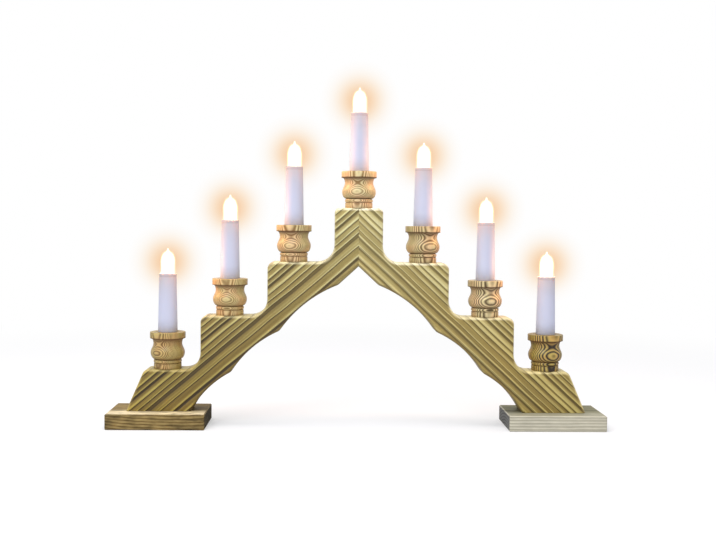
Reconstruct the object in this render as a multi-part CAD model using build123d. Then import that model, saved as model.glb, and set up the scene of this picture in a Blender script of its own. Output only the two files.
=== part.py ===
from build123d import *
import math
import os

# A seven-light candle arch in pine: two stepped plank halves on foot blocks, seven turned cups,
# seven white sleeves, and seven screw-in candle bulbs wired in series along a groove at the back.
# Millimetres, +Z up. X = 0 is the mitre under the middle light, Y = 0 the middle of the plank,
# Z = 0 the surface under the feet. The front of the arch looks towards -Y.

# The lights, from the left
SIDE_LIGHT_COUNT = 3
INNER_LIGHT_SPACING = 64.7
MIDDLE_LIGHT_SPACING = 63.7
OUTER_LIGHT_SPACING = 62.0

# The plank halves
PLANK_THICKNESS = 28.0
STEP_RISE = 54.0
LOWEST_STEP_ABOVE_FOOT = 41.5
APEX_REACH = 24.0
INNER_STEP_REACH = 25.6
MIDDLE_STEP_REACH = 27.9
LOWEST_STEP_REACH = 21.4
TOE_REACH = 39.3
HEEL_REACH = 24.7
MITRE_HEIGHT = 58.0
STEP_COVE_RADIUS = 17.0
STEP_CORNER_RADIUS = 7.0
APEX_CORNER_RADIUS = 5.0
CUSP_RADIUS = 8.0
FRONT_EDGE_RADIUS = 3.0
BACK_EDGE_RADIUS = 1.2
# Each cusp of the wavy underside: along the chord from mitre to heel, and out from it
CUSP_SHARES = ((0.124, 0.003), (0.460, -0.013), (0.747, -0.015))
SCALLOP_RISE_SHARE = 0.076

# The brushed relief on the front
LEFT_RIDGE_ANGLE = 40.3
RIGHT_RIDGE_ANGLE = 42.9
RIDGE_DEPTH = 1.5
LEFT_FINE_PITCH = 5.8
LEFT_WIDE_PITCH = 9.0
RIGHT_FINE_PITCH = 5.6
RIGHT_WIDE_PITCH = 8.0
LEFT_CHANGE_SHARE = 0.46
RIGHT_CHANGE_SHARE = 0.24
CHANGE_WIDTH_SHARE = 0.16
VALLEY_WIDTH_SHARE = 0.84

# The feet
FOOT_LENGTH = 97.0
FOOT_DEPTH = 62.0
FOOT_THICKNESS = 15.5
FOOT_PAST_TOE = 17.3
FOOT_EDGE = 0.8

# Wire bores and the groove in the back
BORE_DIAMETER = 8.0
GROOVE_WIDTH = 8.0
GROOVE_BOTTOM_Y = -1.3
GROOVE_DROP = 38.0
LOWEST_GROOVE_DROP = 27.0
TENON_DIAMETER = 14.0
TENON_LENGTH = 10.0

# Turned cups
CUP_HEIGHT = 36.6
CUP_BASE_DIAMETER = 26.6
CUP_BASE_HEIGHT = 6.2
CUP_BEAD_DIAMETER = 27.8
CUP_BEAD_HEIGHT = 3.4
CUP_NECK_DIAMETER = 25.4
CUP_BULGE_DIAMETER = 32.6
CUP_WAIST_DIAMETER = 28.8
CUP_RIM_DIAMETER = 35.2
CUP_RIM_HEIGHT = 6.1
CUP_GROOVE = 0.5
CUP_BULGE_SHARE = 0.47
CUP_WAIST_SHARE = 0.77

# Sleeves
SLEEVE_VISIBLE = 58.5
SLEEVE_BOTTOM_DIAMETER = 19.4
SLEEVE_TOP_DIAMETER = 17.0
SLEEVE_WALL = 0.9
SPIGOT_DIAMETER = 17.0
SPIGOT_LENGTH = 17.6
SLEEVE_LIP = 0.3

# Lamp holders, measured down from the top of the sleeve
HOLDER_TOP_DEPTH = 11.0
HOLDER_WELL_DEPTH = 11.5
HOLDER_FLOOR = 3.5
HOLDER_SKIRT = 7.0
HOLDER_SKIRT_WALL = 1.1
SHELL_BORE_DIAMETER = 9.8
SHELL_RELIEF = 0.3
SHELL_WALL = 0.3
SHELL_HEIGHT = 8.3
THREAD_PITCH = 1.814
THREAD_RINGS = 4
CONTACT_DISC_DIAMETER = 5.2
CONTACT_STEM_DIAMETER = 1.9
CONTACT_DISC_THICKNESS = 0.5
CONTACT_DISC_CHAMFER = 0.25
LUG_THICKNESS = 0.5
LUG_WIDTH = 2.4

# Bulbs
BULB_DIAMETER = 14.6
BULB_VISIBLE = 25.0
BULB_HIDDEN = 9.5
BULB_WALL = 0.6
BULB_NECK_DIAMETER = 7.4
BULB_NECK_LENGTH = 3.0
BULB_PIP_DIAMETER = 1.8
BULB_PIP_LENGTH = 1.6
BULB_STRAIGHT_SHARE = 0.46
CAP_CREST_DIAMETER = 9.4
CAP_ROOT_DIAMETER = 8.7
CAP_HEIGHT = 9.2
INSULATOR_HEIGHT = 1.5
TIP_DIAMETER = 3.8
TIP_HEIGHT = 0.9
STEM_DIAMETER = 3.2
STEM_HEIGHT = 6.0
LEAD_DIAMETER = 0.5
LEAD_SPREAD = 5.6
LEAD_HEIGHT = 12.0
LEAD_BEND_RADIUS = 1.2
# What the bulb's tip stands off the contact when it is screwed home
CONTACT_GAP = 0.15

# Wires
WIRE_DIAMETER = 2.0
WIRE_SPREAD = 4.4
WIRE_EASY_BEND = 6.0
WIRE_TIGHT_BEND = 3.0
WIRE_CORNER_DROP = 2.4
RETURN_WIRE_Y = 8.0
TURN_STEP_BACK = 1.2

# Cord gland
GLAND_BESIDE_LIGHT = 15.6
GLAND_ABOVE_FOOT = 20.5
GLAND_DIAMETER = 15.0
GLAND_LENGTH = 6.0
GLAND_FLANGE_DIAMETER = 18.8
GLAND_FLANGE = 1.6
GLAND_EDGE = 0.3
GLAND_BORE_DIAMETER = 6.6
GLAND_WIRE_SPREAD = 5.0
GLAND_WIRE_REACH = 4.8

# Staples, dowels and screws
STAPLE_WIRE = 1.2
STAPLE_MARGIN = 1.5
STAPLE_LEG = 6.0
STAPLE_BEND_RADIUS = 0.9
STAPLE_PLACE_SHARES = (0.32, 0.68)
DOWEL_DIAMETER = 6.0
DOWEL_LENGTH = 30.0
DOWEL_INSET = 6.5
DOWEL_CHAMFER = 0.8
DOWEL_HEIGHT_SHARES = (0.30, 0.70)
SCREW_LENGTH = 25.0
SCREW_HEAD_DIAMETER = 8.2
SCREW_HEAD_HEIGHT = 2.6
SCREW_HEAD_LIP = 0.5
SCREW_SINK = 1.0
SCREW_CREST_DIAMETER = 4.0
SCREW_CORE_DIAMETER = 2.8
SCREW_THREAD_PITCH = 1.8
SCREW_TIP = 3.0
SCREW_SLOT_LENGTH = 4.6
SCREW_SLOT_WIDTH = 1.0
SCREW_SLOT_DEPTH = 1.5
SCREW_PLACE_SHARES = (0.24, 0.79)

# Clearances, how far cutters run past what they cut, and what counts as the same plane
FIT = 0.1
WEDGE_FIT = 0.08
LOOSE = 0.3
OVERRUN = 2.0
NEAR = 0.02

FRONT = -PLANK_THICKNESS / 2
BACK = PLANK_THICKNESS / 2


def light_axes():
    """X of each light, from the left."""
    steps = (INNER_LIGHT_SPACING, MIDDLE_LIGHT_SPACING, OUTER_LIGHT_SPACING)
    right = [sum(steps[:count]) for count in range(SIDE_LIGHT_COUNT + 1)]
    return [-x for x in reversed(right[1:])] + right


def step_height(rank):
    """Z of the step top that carries the light of this rank, 0 in the middle."""
    lowest = FOOT_THICKNESS + LOWEST_STEP_ABOVE_FOOT
    return lowest + STEP_RISE * (SIDE_LIGHT_COUNT - rank)


LIGHT_X = light_axes()
RANKS = [abs(index - SIDE_LIGHT_COUNT) for index in range(len(LIGHT_X))]
STEP_Z = [step_height(rank) for rank in RANKS]
RIM_Z = [z + CUP_HEIGHT for z in STEP_Z]
SLEEVE_TOP_Z = [z + SLEEVE_VISIBLE for z in RIM_Z]
OUTER_X = LIGHT_X[-1]
TOE_X = OUTER_X + TOE_REACH
HEEL_X = OUTER_X - HEEL_REACH


def at(x, z=0, y=0):
    return Pos(x, y, z)


def front_face(points_or_edges):
    """A face drawn in X and Z, standing in the plane Y = 0."""
    return Plane.XZ * make_face(points_or_edges)


def turned(points):
    """A solid of revolution about Z from (radius, z) points joined by straight lines."""
    return revolve(front_face(Polyline(*points, close=True)), Axis.Z)


def rod(diameter, start, end):
    """A round bar between two points."""
    run = Vector(*end) - Vector(*start)
    plane = Plane(origin=start, z_dir=run)
    return extrude(plane * Circle(diameter / 2), run.length)


def tube_along(points, radii, diameter):
    """A round wire along straight runs joined by tangent arcs."""
    path = FilletPolyline(*points, radius=radii)
    section = Plane(origin=path @ 0, z_dir=path % 0) * Circle(diameter / 2)
    return sweep(section, path=path)


def nearest_vertex(face, x, y):
    return min(face.vertices(), key=lambda v: math.hypot(v.X - x, v.Y - y))


# The outline of the right half; the left half mirrors it.


def underside_points():
    """Mitre notch, three cusps and heel, going outwards along the underside."""
    notch = Vector(0, STEP_Z[SIDE_LIGHT_COUNT] - MITRE_HEIGHT)
    heel = Vector(HEEL_X, FOOT_THICKNESS)
    chord = heel - notch
    out = Vector(chord.Y, -chord.X)
    cusps = [notch + chord * along + out * away for along, away in CUSP_SHARES]
    return [notch] + cusps + [heel]


def outline_corners():
    """Corners of the top side from the mitre outwards, each with its rounding."""
    axes = LIGHT_X[SIDE_LIGHT_COUNT:]
    tops = STEP_Z[SIDE_LIGHT_COUNT:]
    reaches = (APEX_REACH, INNER_STEP_REACH, MIDDLE_STEP_REACH)
    corner_radii = (APEX_CORNER_RADIUS, STEP_CORNER_RADIUS, STEP_CORNER_RADIUS)
    corners = []
    for rank, (reach, radius) in enumerate(zip(reaches, corner_radii)):
        side = axes[rank] + reach
        corners.append(((side, tops[rank]), radius))
        corners.append(((side, tops[rank + 1]), STEP_COVE_RADIUS))
    corners.append(((OUTER_X + LOWEST_STEP_REACH, tops[-1]), STEP_CORNER_RADIUS))
    return corners


def half_outline():
    """The right half in X and Z, drawn flat."""
    corners = outline_corners()
    under = underside_points()
    top = [(0, STEP_Z[SIDE_LIGHT_COUNT])] + [point for point, _ in corners]
    top += [(TOE_X, FOOT_THICKNESS), under[-1]]
    edges = [Line(a, b) for a, b in zip(top, top[1:])]
    edges.append(Line(under[0], under[1]))
    for inner, outer in zip(under[1:], under[2:]):
        edges.append(SagittaArc(inner, outer, (outer - inner).length * SCALLOP_RISE_SHARE))
    edges.append(Line(under[0], top[0]))
    face = make_face(edges)
    roundings = corners + [((cusp.X, cusp.Y), CUSP_RADIUS) for cusp in under[1:-1]]
    for (x, y), radius in roundings:
        face = face.face().fillet_2d(radius, [nearest_vertex(face, x, y)])
    return face


def loose_edges(solid, y):
    """Edges of the plank's face at this Y, apart from those on the mitre and on the foot."""
    wanted = []
    for edge in solid.edges():
        box = edge.bounding_box()
        in_face = abs(box.min.Y - y) < NEAR and abs(box.max.Y - y) < NEAR
        on_mitre = box.max.X < NEAR
        on_foot = box.max.Z < FOOT_THICKNESS + NEAR
        if in_face and not on_mitre and not on_foot:
            wanted.append(edge)
    return wanted


def plank_half():
    """The right half with rounded edges, before relief, bores and groove."""
    plank = extrude(Plane.XZ.offset(-BACK) * half_outline(), PLANK_THICKNESS)
    plank = fillet(loose_edges(plank, FRONT), FRONT_EDGE_RADIUS)
    return fillet(loose_edges(plank, BACK), BACK_EDGE_RADIUS)


# The relief: parallel valleys that leave ridges between them.


def across(x, z, angle):
    """Distance of a point of the right half across its ridges."""
    return x * math.sin(angle) + z * math.cos(angle)


def valley_lines(angle, fine, wide, change_share):
    """Where each valley lies across the ridges, with its width: fine at the steps, wide below."""
    low = across(HEEL_X, FOOT_THICKNESS, angle)
    high = across(LIGHT_X[SIDE_LIGHT_COUNT] + APEX_REACH, STEP_Z[SIDE_LIGHT_COUNT], angle)
    lines = []
    place = high
    while place > low:
        share = (place - low) / (high - low)
        blend = min(1, max(0, (change_share - share) / CHANGE_WIDTH_SHARE + 1 / 2))
        pitch = fine + (wide - fine) * blend
        lines.append((place - pitch / 2, pitch * VALLEY_WIDTH_SHARE))
        place -= pitch
    return lines


def valley_cutters(slope, fine, wide, change_share):
    """Long bars whose round sides scoop the valleys of the right half."""
    angle = math.radians(slope)
    normal = Vector(math.sin(angle), 0, math.cos(angle))
    along = Vector(math.cos(angle), 0, -math.sin(angle))
    reach = TOE_X + STEP_Z[SIDE_LIGHT_COUNT]
    bars = []
    for place, width in valley_lines(angle, fine, wide, change_share):
        radius = width * width / (8 * RIDGE_DEPTH) + RIDGE_DEPTH / 2
        centre = normal * place + Vector(0, FRONT + RIDGE_DEPTH - radius, 0)
        bars.append(rod(2 * radius, centre - along * reach, centre + along * reach))
    return bars


# Bores, groove and pockets that the halves share


def groove_height(rank):
    """Z of the groove's middle under the light of this rank."""
    drop = LOWEST_GROOVE_DROP if rank == SIDE_LIGHT_COUNT else GROOVE_DROP
    return step_height(rank) - drop


GROOVE_Z = [groove_height(rank) for rank in RANKS]
GLAND_X = LIGHT_X[0] - GLAND_BESIDE_LIGHT
GLAND_Z = FOOT_THICKNESS + GLAND_ABOVE_FOOT


def groove_points():
    """The groove's middle line in X and Z, from the gland to the last light."""
    return [(GLAND_X, GLAND_Z)] + list(zip(LIGHT_X, GROOVE_Z))


def groove_at(x):
    """Z of the groove's middle at this X."""
    points = groove_points()
    for (x0, z0), (x1, z1) in zip(points, points[1:]):
        if x <= x1:
            return z0 + (z1 - z0) * (x - x0) / (x1 - x0)
    return points[-1][1]


def groove_cutter():
    """Round-ended slots along the groove, cut from the back."""
    runs = []
    for (x0, z0), (x1, z1) in zip(groove_points(), groove_points()[1:]):
        length = math.hypot(x1 - x0, z1 - z0)
        tilt = math.degrees(math.atan2(z1 - z0, x1 - x0))
        slot = SlotCenterToCenter(length, GROOVE_WIDTH)
        runs.append(Pos((x0 + x1) / 2, (z0 + z1) / 2) * Rot(0, 0, tilt) * slot)
    flat = runs[0]
    for run in runs[1:]:
        flat += run
    depth = BACK + OVERRUN - GROOVE_BOTTOM_Y
    return extrude(Plane.XZ.offset(-(BACK + OVERRUN)) * flat, depth)


def light_bores():
    """Under each light a tenon hole, and a bore down to the groove."""
    cutters = []
    for x, top, low in zip(LIGHT_X, STEP_Z, GROOVE_Z):
        cutters.append(rod(BORE_DIAMETER, (x, 0, low), (x, 0, top + OVERRUN)))
        hole = TENON_LENGTH + LOOSE
        cutters.append(rod(TENON_DIAMETER + 2 * FIT, (x, 0, top - hole), (x, 0, top + OVERRUN)))
    return cutters


def gland_pocket():
    start = (GLAND_X, BACK - GLAND_LENGTH - GLAND_WIRE_REACH - WIRE_DIAMETER, GLAND_Z)
    return rod(GLAND_DIAMETER + 2 * FIT, start, (GLAND_X, BACK + OVERRUN, GLAND_Z))


# Fasteners


def dowel_places():
    """Y and Z of each dowel across the mitre."""
    low = STEP_Z[SIDE_LIGHT_COUNT] - MITRE_HEIGHT
    return [(FRONT + DOWEL_INSET, low + MITRE_HEIGHT * share) for share in DOWEL_HEIGHT_SHARES]


def dowels():
    pegs = []
    for y, z in dowel_places():
        half = DOWEL_LENGTH / 2
        peg = rod(DOWEL_DIAMETER, (-half, y, z), (half, y, z))
        pegs.append(chamfer(peg.edges().filter_by(GeomType.CIRCLE), DOWEL_CHAMFER))
    return pegs


def dowel_holes():
    half = DOWEL_LENGTH / 2 + LOOSE
    across_hole = DOWEL_DIAMETER + FIT
    return [rod(across_hole, (-half, y, z), (half, y, z)) for y, z in dowel_places()]


def screw_axes(side):
    """X of the two screws in one foot; side is -1 on the left and 1 on the right."""
    return [side * (HEEL_X + (TOE_X - HEEL_X) * share) for share in SCREW_PLACE_SHARES]


def foot_screw():
    """A countersunk wood screw pointing up, with its head's flat at Z = 0."""
    head, crest, core = (
        SCREW_HEAD_DIAMETER / 2,
        SCREW_CREST_DIAMETER / 2,
        SCREW_CORE_DIAMETER / 2,
    )
    points = [(0, 0), (head, 0), (head, SCREW_HEAD_LIP), (core, SCREW_HEAD_HEIGHT)]
    z = SCREW_HEAD_HEIGHT + SCREW_THREAD_PITCH
    while z + SCREW_THREAD_PITCH < SCREW_LENGTH - SCREW_TIP:
        points += [(core, z), (crest, z + SCREW_THREAD_PITCH / 2)]
        z += SCREW_THREAD_PITCH
    points += [(core, z), (0, SCREW_LENGTH)]
    screw = turned(points)
    slot_box = Box(SCREW_SLOT_LENGTH, SCREW_SLOT_WIDTH, 2 * SCREW_SLOT_DEPTH)
    return screw - slot_box - Rot(0, 0, 90) * slot_box


def screw_hole():
    """What one screw needs cut: countersink and clearance in the foot, pilot in the plank."""
    sink = SCREW_SINK + SCREW_HEAD_HEIGHT
    wide = SCREW_HEAD_DIAMETER / 2 + FIT
    shank = SCREW_CREST_DIAMETER / 2 + FIT
    end = SCREW_SINK + SCREW_LENGTH + LOOSE
    points = [(0, -OVERRUN), (wide, -OVERRUN), (wide, SCREW_SINK + SCREW_HEAD_LIP)]
    points += [(shank, sink + LOOSE), (shank, end), (0, end)]
    return turned(points)


def staple_places():
    """X, Z and tilt of each staple over the groove."""
    points = list(zip(LIGHT_X, GROOVE_Z))
    places = []
    for (x0, z0), (x1, z1) in zip(points, points[1:]):
        tilt = math.degrees(math.atan2(z1 - z0, x1 - x0))
        for share in STAPLE_PLACE_SHARES:
            places.append((x0 + (x1 - x0) * share, z0 + (z1 - z0) * share, tilt))
    return places


def on_back(x, z, tilt):
    """The place of a staple: its own X runs along the groove, its own Z stays flat on the back."""
    return Pos(x, BACK, z) * Rot(0, -tilt, 0)


STAPLE_HALF = GROOVE_WIDTH / 2 + STAPLE_MARGIN


def staple():
    """A wire staple across the groove, at its own origin on the back face."""
    crown = STAPLE_BEND_RADIUS
    points = [
        (0, -STAPLE_LEG, -STAPLE_HALF),
        (0, crown, -STAPLE_HALF),
        (0, crown, STAPLE_HALF),
        (0, -STAPLE_LEG, STAPLE_HALF),
    ]
    return tube_along(points, [STAPLE_BEND_RADIUS] * 2, STAPLE_WIRE)


def staple_holes():
    """The two leg holes of one staple."""
    wide = STAPLE_WIRE + FIT
    deep = -(STAPLE_LEG + LOOSE)
    return [
        rod(wide, (0, deep, z), (0, OVERRUN, z)) for z in (-STAPLE_HALF, STAPLE_HALF)
    ]


# The halves and the feet


def arch_half(side):
    """One half of the arch; side is -1 on the left and 1 on the right."""
    half = plank_half()
    if side > 0:
        ridges = (RIGHT_RIDGE_ANGLE, RIGHT_FINE_PITCH, RIGHT_WIDE_PITCH, RIGHT_CHANGE_SHARE)
    else:
        ridges = (LEFT_RIDGE_ANGLE, LEFT_FINE_PITCH, LEFT_WIDE_PITCH, LEFT_CHANGE_SHARE)
    half -= valley_cutters(*ridges)
    if side < 0:
        half = mirror(half, about=Plane.YZ)
    half -= groove_cutter()
    half -= light_bores()
    half -= dowel_holes()
    half -= [at(x) * screw_hole() for x in screw_axes(side)]
    if side < 0:
        half -= gland_pocket()
    for x, z, tilt in staple_places():
        if x * side > 0:
            half -= [on_back(x, z, tilt) * hole for hole in staple_holes()]
    return half


def foot(side):
    """One foot block with its two screw holes."""
    middle = side * (TOE_X + FOOT_PAST_TOE - FOOT_LENGTH / 2)
    block = Box(FOOT_LENGTH, FOOT_DEPTH, FOOT_THICKNESS)
    block = chamfer(block.edges(), FOOT_EDGE)
    block = at(middle, FOOT_THICKNESS / 2) * block
    return block - [at(x) * screw_hole() for x in screw_axes(side)]


# One light, drawn on its own axis


def cup():
    """A turned cup, base at Z = 0, with its tenon below."""
    base, bead, neck = CUP_BASE_DIAMETER / 2, CUP_BEAD_DIAMETER / 2, CUP_NECK_DIAMETER / 2
    bulge, waist, rim = CUP_BULGE_DIAMETER / 2, CUP_WAIST_DIAMETER / 2, CUP_RIM_DIAMETER / 2
    bead_low = CUP_BASE_HEIGHT + CUP_GROOVE
    bead_top = bead_low + CUP_BEAD_HEIGHT
    bulge_low = bead_top + CUP_GROOVE
    rim_low = CUP_HEIGHT - CUP_RIM_HEIGHT
    socket, hole = SPIGOT_DIAMETER / 2 + FIT, BORE_DIAMETER / 2
    socket_floor = CUP_HEIGHT - SPIGOT_LENGTH - LOOSE
    tenon = TENON_DIAMETER / 2
    bulge_z, waist_z = CUP_HEIGHT * CUP_BULGE_SHARE, CUP_HEIGHT * CUP_WAIST_SHARE
    edges = [
        Polyline(
            (waist, rim_low),
            (rim, rim_low),
            (rim, CUP_HEIGHT),
            (socket, CUP_HEIGHT),
            (socket, socket_floor),
            (hole, socket_floor),
            (hole, -TENON_LENGTH),
            (tenon, -TENON_LENGTH),
            (tenon, 0),
            (base, 0),
            (base, CUP_BASE_HEIGHT),
            (neck, CUP_BASE_HEIGHT),
            (neck, bead_low),
            (bead - CUP_GROOVE, bead_low),
        ),
        ThreePointArc(
            (bead - CUP_GROOVE, bead_low),
            (bead, (bead_low + bead_top) / 2),
            (bead - CUP_GROOVE, bead_top),
        ),
        Polyline(
            (bead - CUP_GROOVE, bead_top),
            (neck, bead_top),
            (neck, bulge_low),
        ),
        Spline(
            (neck, bulge_low),
            (bulge, bulge_z),
            (waist, waist_z),
            (waist, rim_low),
            tangents=[(1, 1 / 2), (1 / 2, 2)],
        ),
    ]
    return revolve(front_face(edges), Axis.Z)


def sleeve_radius(depth):
    """Outer radius of the sleeve at a depth below its top."""
    slope = (SLEEVE_BOTTOM_DIAMETER - SLEEVE_TOP_DIAMETER) / 2 / SLEEVE_VISIBLE
    return SLEEVE_TOP_DIAMETER / 2 + slope * depth


def sleeve():
    """A sleeve with its top at Z = 0 and its spigot at the bottom."""
    top, low = SLEEVE_TOP_DIAMETER / 2, SLEEVE_BOTTOM_DIAMETER / 2
    spigot = SPIGOT_DIAMETER / 2
    floor = -SLEEVE_VISIBLE - SPIGOT_LENGTH
    points = [
        (top - SLEEVE_WALL, -SLEEVE_LIP),
        (top - SLEEVE_WALL + SLEEVE_LIP, 0),
        (top - SLEEVE_LIP, 0),
        (top, -SLEEVE_LIP),
        (low, -SLEEVE_VISIBLE),
        (spigot, -SLEEVE_VISIBLE),
        (spigot, floor),
        (spigot - SLEEVE_WALL, floor),
        (spigot - SLEEVE_WALL, -SLEEVE_VISIBLE),
        (low - SLEEVE_WALL, -SLEEVE_VISIBLE + SLEEVE_WALL),
    ]
    return turned(points)


# Levels below the top of the sleeve, from the bulb's cap down to the terminals

CAP_TOP = -BULB_HIDDEN
CAP_LOW = CAP_TOP - CAP_HEIGHT
CAP_BORE = BULB_NECK_DIAMETER / 2 + FIT
SHELL_TOP = -HOLDER_TOP_DEPTH - FIT
SHELL_LOW = SHELL_TOP - SHELL_HEIGHT
HOLDER_FLOOR_TOP = -HOLDER_TOP_DEPTH - HOLDER_WELL_DEPTH
HOLDER_FLOOR_LOW = HOLDER_FLOOR_TOP - HOLDER_FLOOR
HOLDER_BOTTOM = HOLDER_FLOOR_LOW - HOLDER_SKIRT
LUG_LOW = HOLDER_FLOOR_LOW - FIT - LUG_THICKNESS
WELL_RADIUS = SHELL_BORE_DIAMETER / 2 + SHELL_RELIEF + SHELL_WALL + FIT
TAB_X = SHELL_BORE_DIAMETER / 2 + SHELL_WALL / 2


def holder_radius(depth):
    """The holder wedges in the sleeve's taper."""
    return sleeve_radius(depth) - SLEEVE_WALL - WEDGE_FIT


def lamp_holder():
    """The moulded holder, in the sleeve's frame: well above, skirt round the terminals below."""
    skirt = holder_radius(-HOLDER_FLOOR_LOW)
    hole = CONTACT_STEM_DIAMETER / 2 + FIT
    points = [
        (WELL_RADIUS, -HOLDER_TOP_DEPTH),
        (holder_radius(HOLDER_TOP_DEPTH), -HOLDER_TOP_DEPTH),
        (skirt, HOLDER_FLOOR_LOW),
        (skirt, HOLDER_BOTTOM),
        (skirt - HOLDER_SKIRT_WALL, HOLDER_BOTTOM),
        (skirt - HOLDER_SKIRT_WALL, HOLDER_FLOOR_LOW),
        (hole, HOLDER_FLOOR_LOW),
        (hole, HOLDER_FLOOR_TOP),
        (WELL_RADIUS, HOLDER_FLOOR_TOP),
    ]
    tab = SHELL_WALL + 2 * FIT
    slot = Box(tab, LUG_WIDTH + 2 * FIT, HOLDER_FLOOR + 2 * OVERRUN)
    middle = (HOLDER_FLOOR_TOP + HOLDER_FLOOR_LOW) / 2
    return turned(points) - at(TAB_X, middle) * slot


def screw_shell():
    """The brass shell with rolled rings, and the tab that ends in a solder lug."""
    bore = SHELL_BORE_DIAMETER / 2
    deep = bore + SHELL_RELIEF
    inner = [(bore, SHELL_TOP)]
    z = SHELL_TOP - THREAD_PITCH / 2
    for _ in range(THREAD_RINGS):
        inner += [(deep, z), (bore, z - THREAD_PITCH / 2)]
        z -= THREAD_PITCH
    inner.append((bore, SHELL_LOW))
    outer = [(radius + SHELL_WALL, height) for radius, height in reversed(inner)]
    tab_length = SHELL_LOW + SHELL_WALL - LUG_LOW
    tab = at(TAB_X, LUG_LOW + tab_length / 2) * Box(SHELL_WALL, LUG_WIDTH, tab_length)
    lug_inner = WIRE_SPREAD / 2 - WIRE_DIAMETER / 2
    lug_length = TAB_X + SHELL_WALL / 2 - lug_inner
    lug = Box(lug_length, LUG_WIDTH, LUG_THICKNESS)
    lug = at(lug_inner + lug_length / 2, LUG_LOW + LUG_THICKNESS / 2) * lug
    return turned(inner + outer) + tab + lug


def centre_contact():
    """The contact under the bulb: disc, stem through the floor, and lug."""
    top = CAP_LOW - INSULATOR_HEIGHT - TIP_HEIGHT - CONTACT_GAP
    disc, stem = CONTACT_DISC_DIAMETER / 2, CONTACT_STEM_DIAMETER / 2
    points = [
        (0, top),
        (disc - CONTACT_DISC_CHAMFER, top),
        (disc, top - CONTACT_DISC_THICKNESS),
        (stem, top - CONTACT_DISC_THICKNESS),
        (stem, LUG_LOW),
        (0, LUG_LOW),
    ]
    lug_outer = WIRE_SPREAD / 2 + WIRE_DIAMETER / 2
    lug = Box(lug_outer, LUG_WIDTH, LUG_THICKNESS)
    lug = at(-lug_outer / 2, LUG_LOW + LUG_THICKNESS / 2) * lug
    return turned(points) + lug


def bulb_cap():
    """The screw cap as a sleeve with raised rings; the glass neck sits in its top."""
    crest, root = CAP_CREST_DIAMETER / 2, CAP_ROOT_DIAMETER / 2
    points = [(CAP_BORE, CAP_TOP), (root, CAP_TOP)]
    z = CAP_TOP - THREAD_PITCH
    for _ in range(THREAD_RINGS):
        points += [(root, z), (crest, z - THREAD_PITCH / 2)]
        z -= THREAD_PITCH
    points += [(root, z), (CAP_BORE, CAP_LOW)]
    return turned(points)


def bulb_contact():
    """The black insulator that closes the cap, with the solder tip under it."""
    top = CAP_LOW + INSULATOR_HEIGHT
    tip = TIP_DIAMETER / 2
    low = CAP_LOW - INSULATOR_HEIGHT
    plug = CAP_BORE - FIT
    ball = (tip**2 + TIP_HEIGHT**2) / (2 * TIP_HEIGHT)
    half_way = math.asin(tip / ball) / 2
    on_dome = (ball * math.sin(half_way), low - TIP_HEIGHT + ball * (1 - math.cos(half_way)))
    edges = [
        Polyline((0, low - TIP_HEIGHT), (0, top), (plug, top), (plug, CAP_LOW), (tip, low)),
        ThreePointArc((tip, low), on_dome, (0, low - TIP_HEIGHT)),
    ]
    return revolve(front_face(edges), Axis.Z)


def glass_side(gap):
    """One skin of the bulb, drawn from the neck up; gap is how far it lies inside the outer."""
    neck, wide = BULB_NECK_DIAMETER / 2 - gap, BULB_DIAMETER / 2 - gap
    pip = BULB_PIP_DIAMETER / 2
    start = CAP_TOP - BULB_NECK_LENGTH
    shoulder = CAP_TOP + BULB_HIDDEN / 2
    straight = BULB_VISIBLE * BULB_STRAIGHT_SHARE
    pip_base = BULB_VISIBLE - BULB_PIP_LENGTH
    low = [Line((neck, start), (neck, CAP_TOP + gap))]
    low.append(Spline((neck, CAP_TOP + gap), (wide, shoulder), tangents=[(1, 1 / 2), (0, 1)]))
    low.append(Line((wide, shoulder), (wide, straight)))
    if gap:
        end = pip_base - 2 * gap
        return low + [Spline((wide, straight), (0, end), tangents=[(0, 1), (-1, 0)])]
    ogive = Spline((wide, straight), (pip, pip_base), tangents=[(0, 1), (-1, 1)])
    point = Spline((pip, pip_base), (0, BULB_VISIBLE), tangents=[(0, 1), (-1, 0)])
    return low + [ogive, point]


def bulb_glass():
    """The blown envelope, hollow and open at the neck."""
    outer, inner = glass_side(0), glass_side(BULB_WALL)
    start = CAP_TOP - BULB_NECK_LENGTH
    neck = BULB_NECK_DIAMETER / 2
    rim = Line((neck - BULB_WALL, start), (neck, start))
    axis = Line((0, BULB_VISIBLE - BULB_PIP_LENGTH - 2 * BULB_WALL), (0, BULB_VISIBLE))
    return revolve(front_face(outer + inner + [rim, axis]), Axis.Z)


def bulb_filament():
    """Glass stem in the neck, two support wires and the filament across them."""
    stem, flare = STEM_DIAMETER / 2, BULB_NECK_DIAMETER / 2 - BULB_WALL - FIT
    low = CAP_TOP - BULB_NECK_LENGTH
    top = low + STEM_HEIGHT
    points = [(0, low), (flare, low), (flare, low + BULB_WALL), (stem, low + 2 * BULB_WALL)]
    points += [(stem, top - BULB_WALL), (stem - BULB_WALL, top), (0, top)]
    foot_x, head_x = STEM_DIAMETER / 4, LEAD_SPREAD / 2
    inside, head = top - 2 * BULB_WALL, top + LEAD_HEIGHT
    path = [(-foot_x, 0, inside), (-head_x, 0, head), (head_x, 0, head), (foot_x, 0, inside)]
    return turned(points) + tube_along(path, [LEAD_BEND_RADIUS] * 2, LEAD_DIAMETER)


# Wires, in the plane of the bores, with the return wire nearer the back


def wire_points(index, side):
    """Where a wire hangs from its lug: side -1 is the centre contact's, 1 the shell's."""
    x = LIGHT_X[index] + side * WIRE_SPREAD / 2
    return x, SLEEVE_TOP_Z[index] + LUG_LOW


def corner(index, side, tight):
    """The wire's turn at the groove; a tight one dips to the groove's lower wall."""
    x, _ = wire_points(index, side)
    return (x, 0, groove_at(x) - (WIRE_CORNER_DROP if tight else 0))


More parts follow.
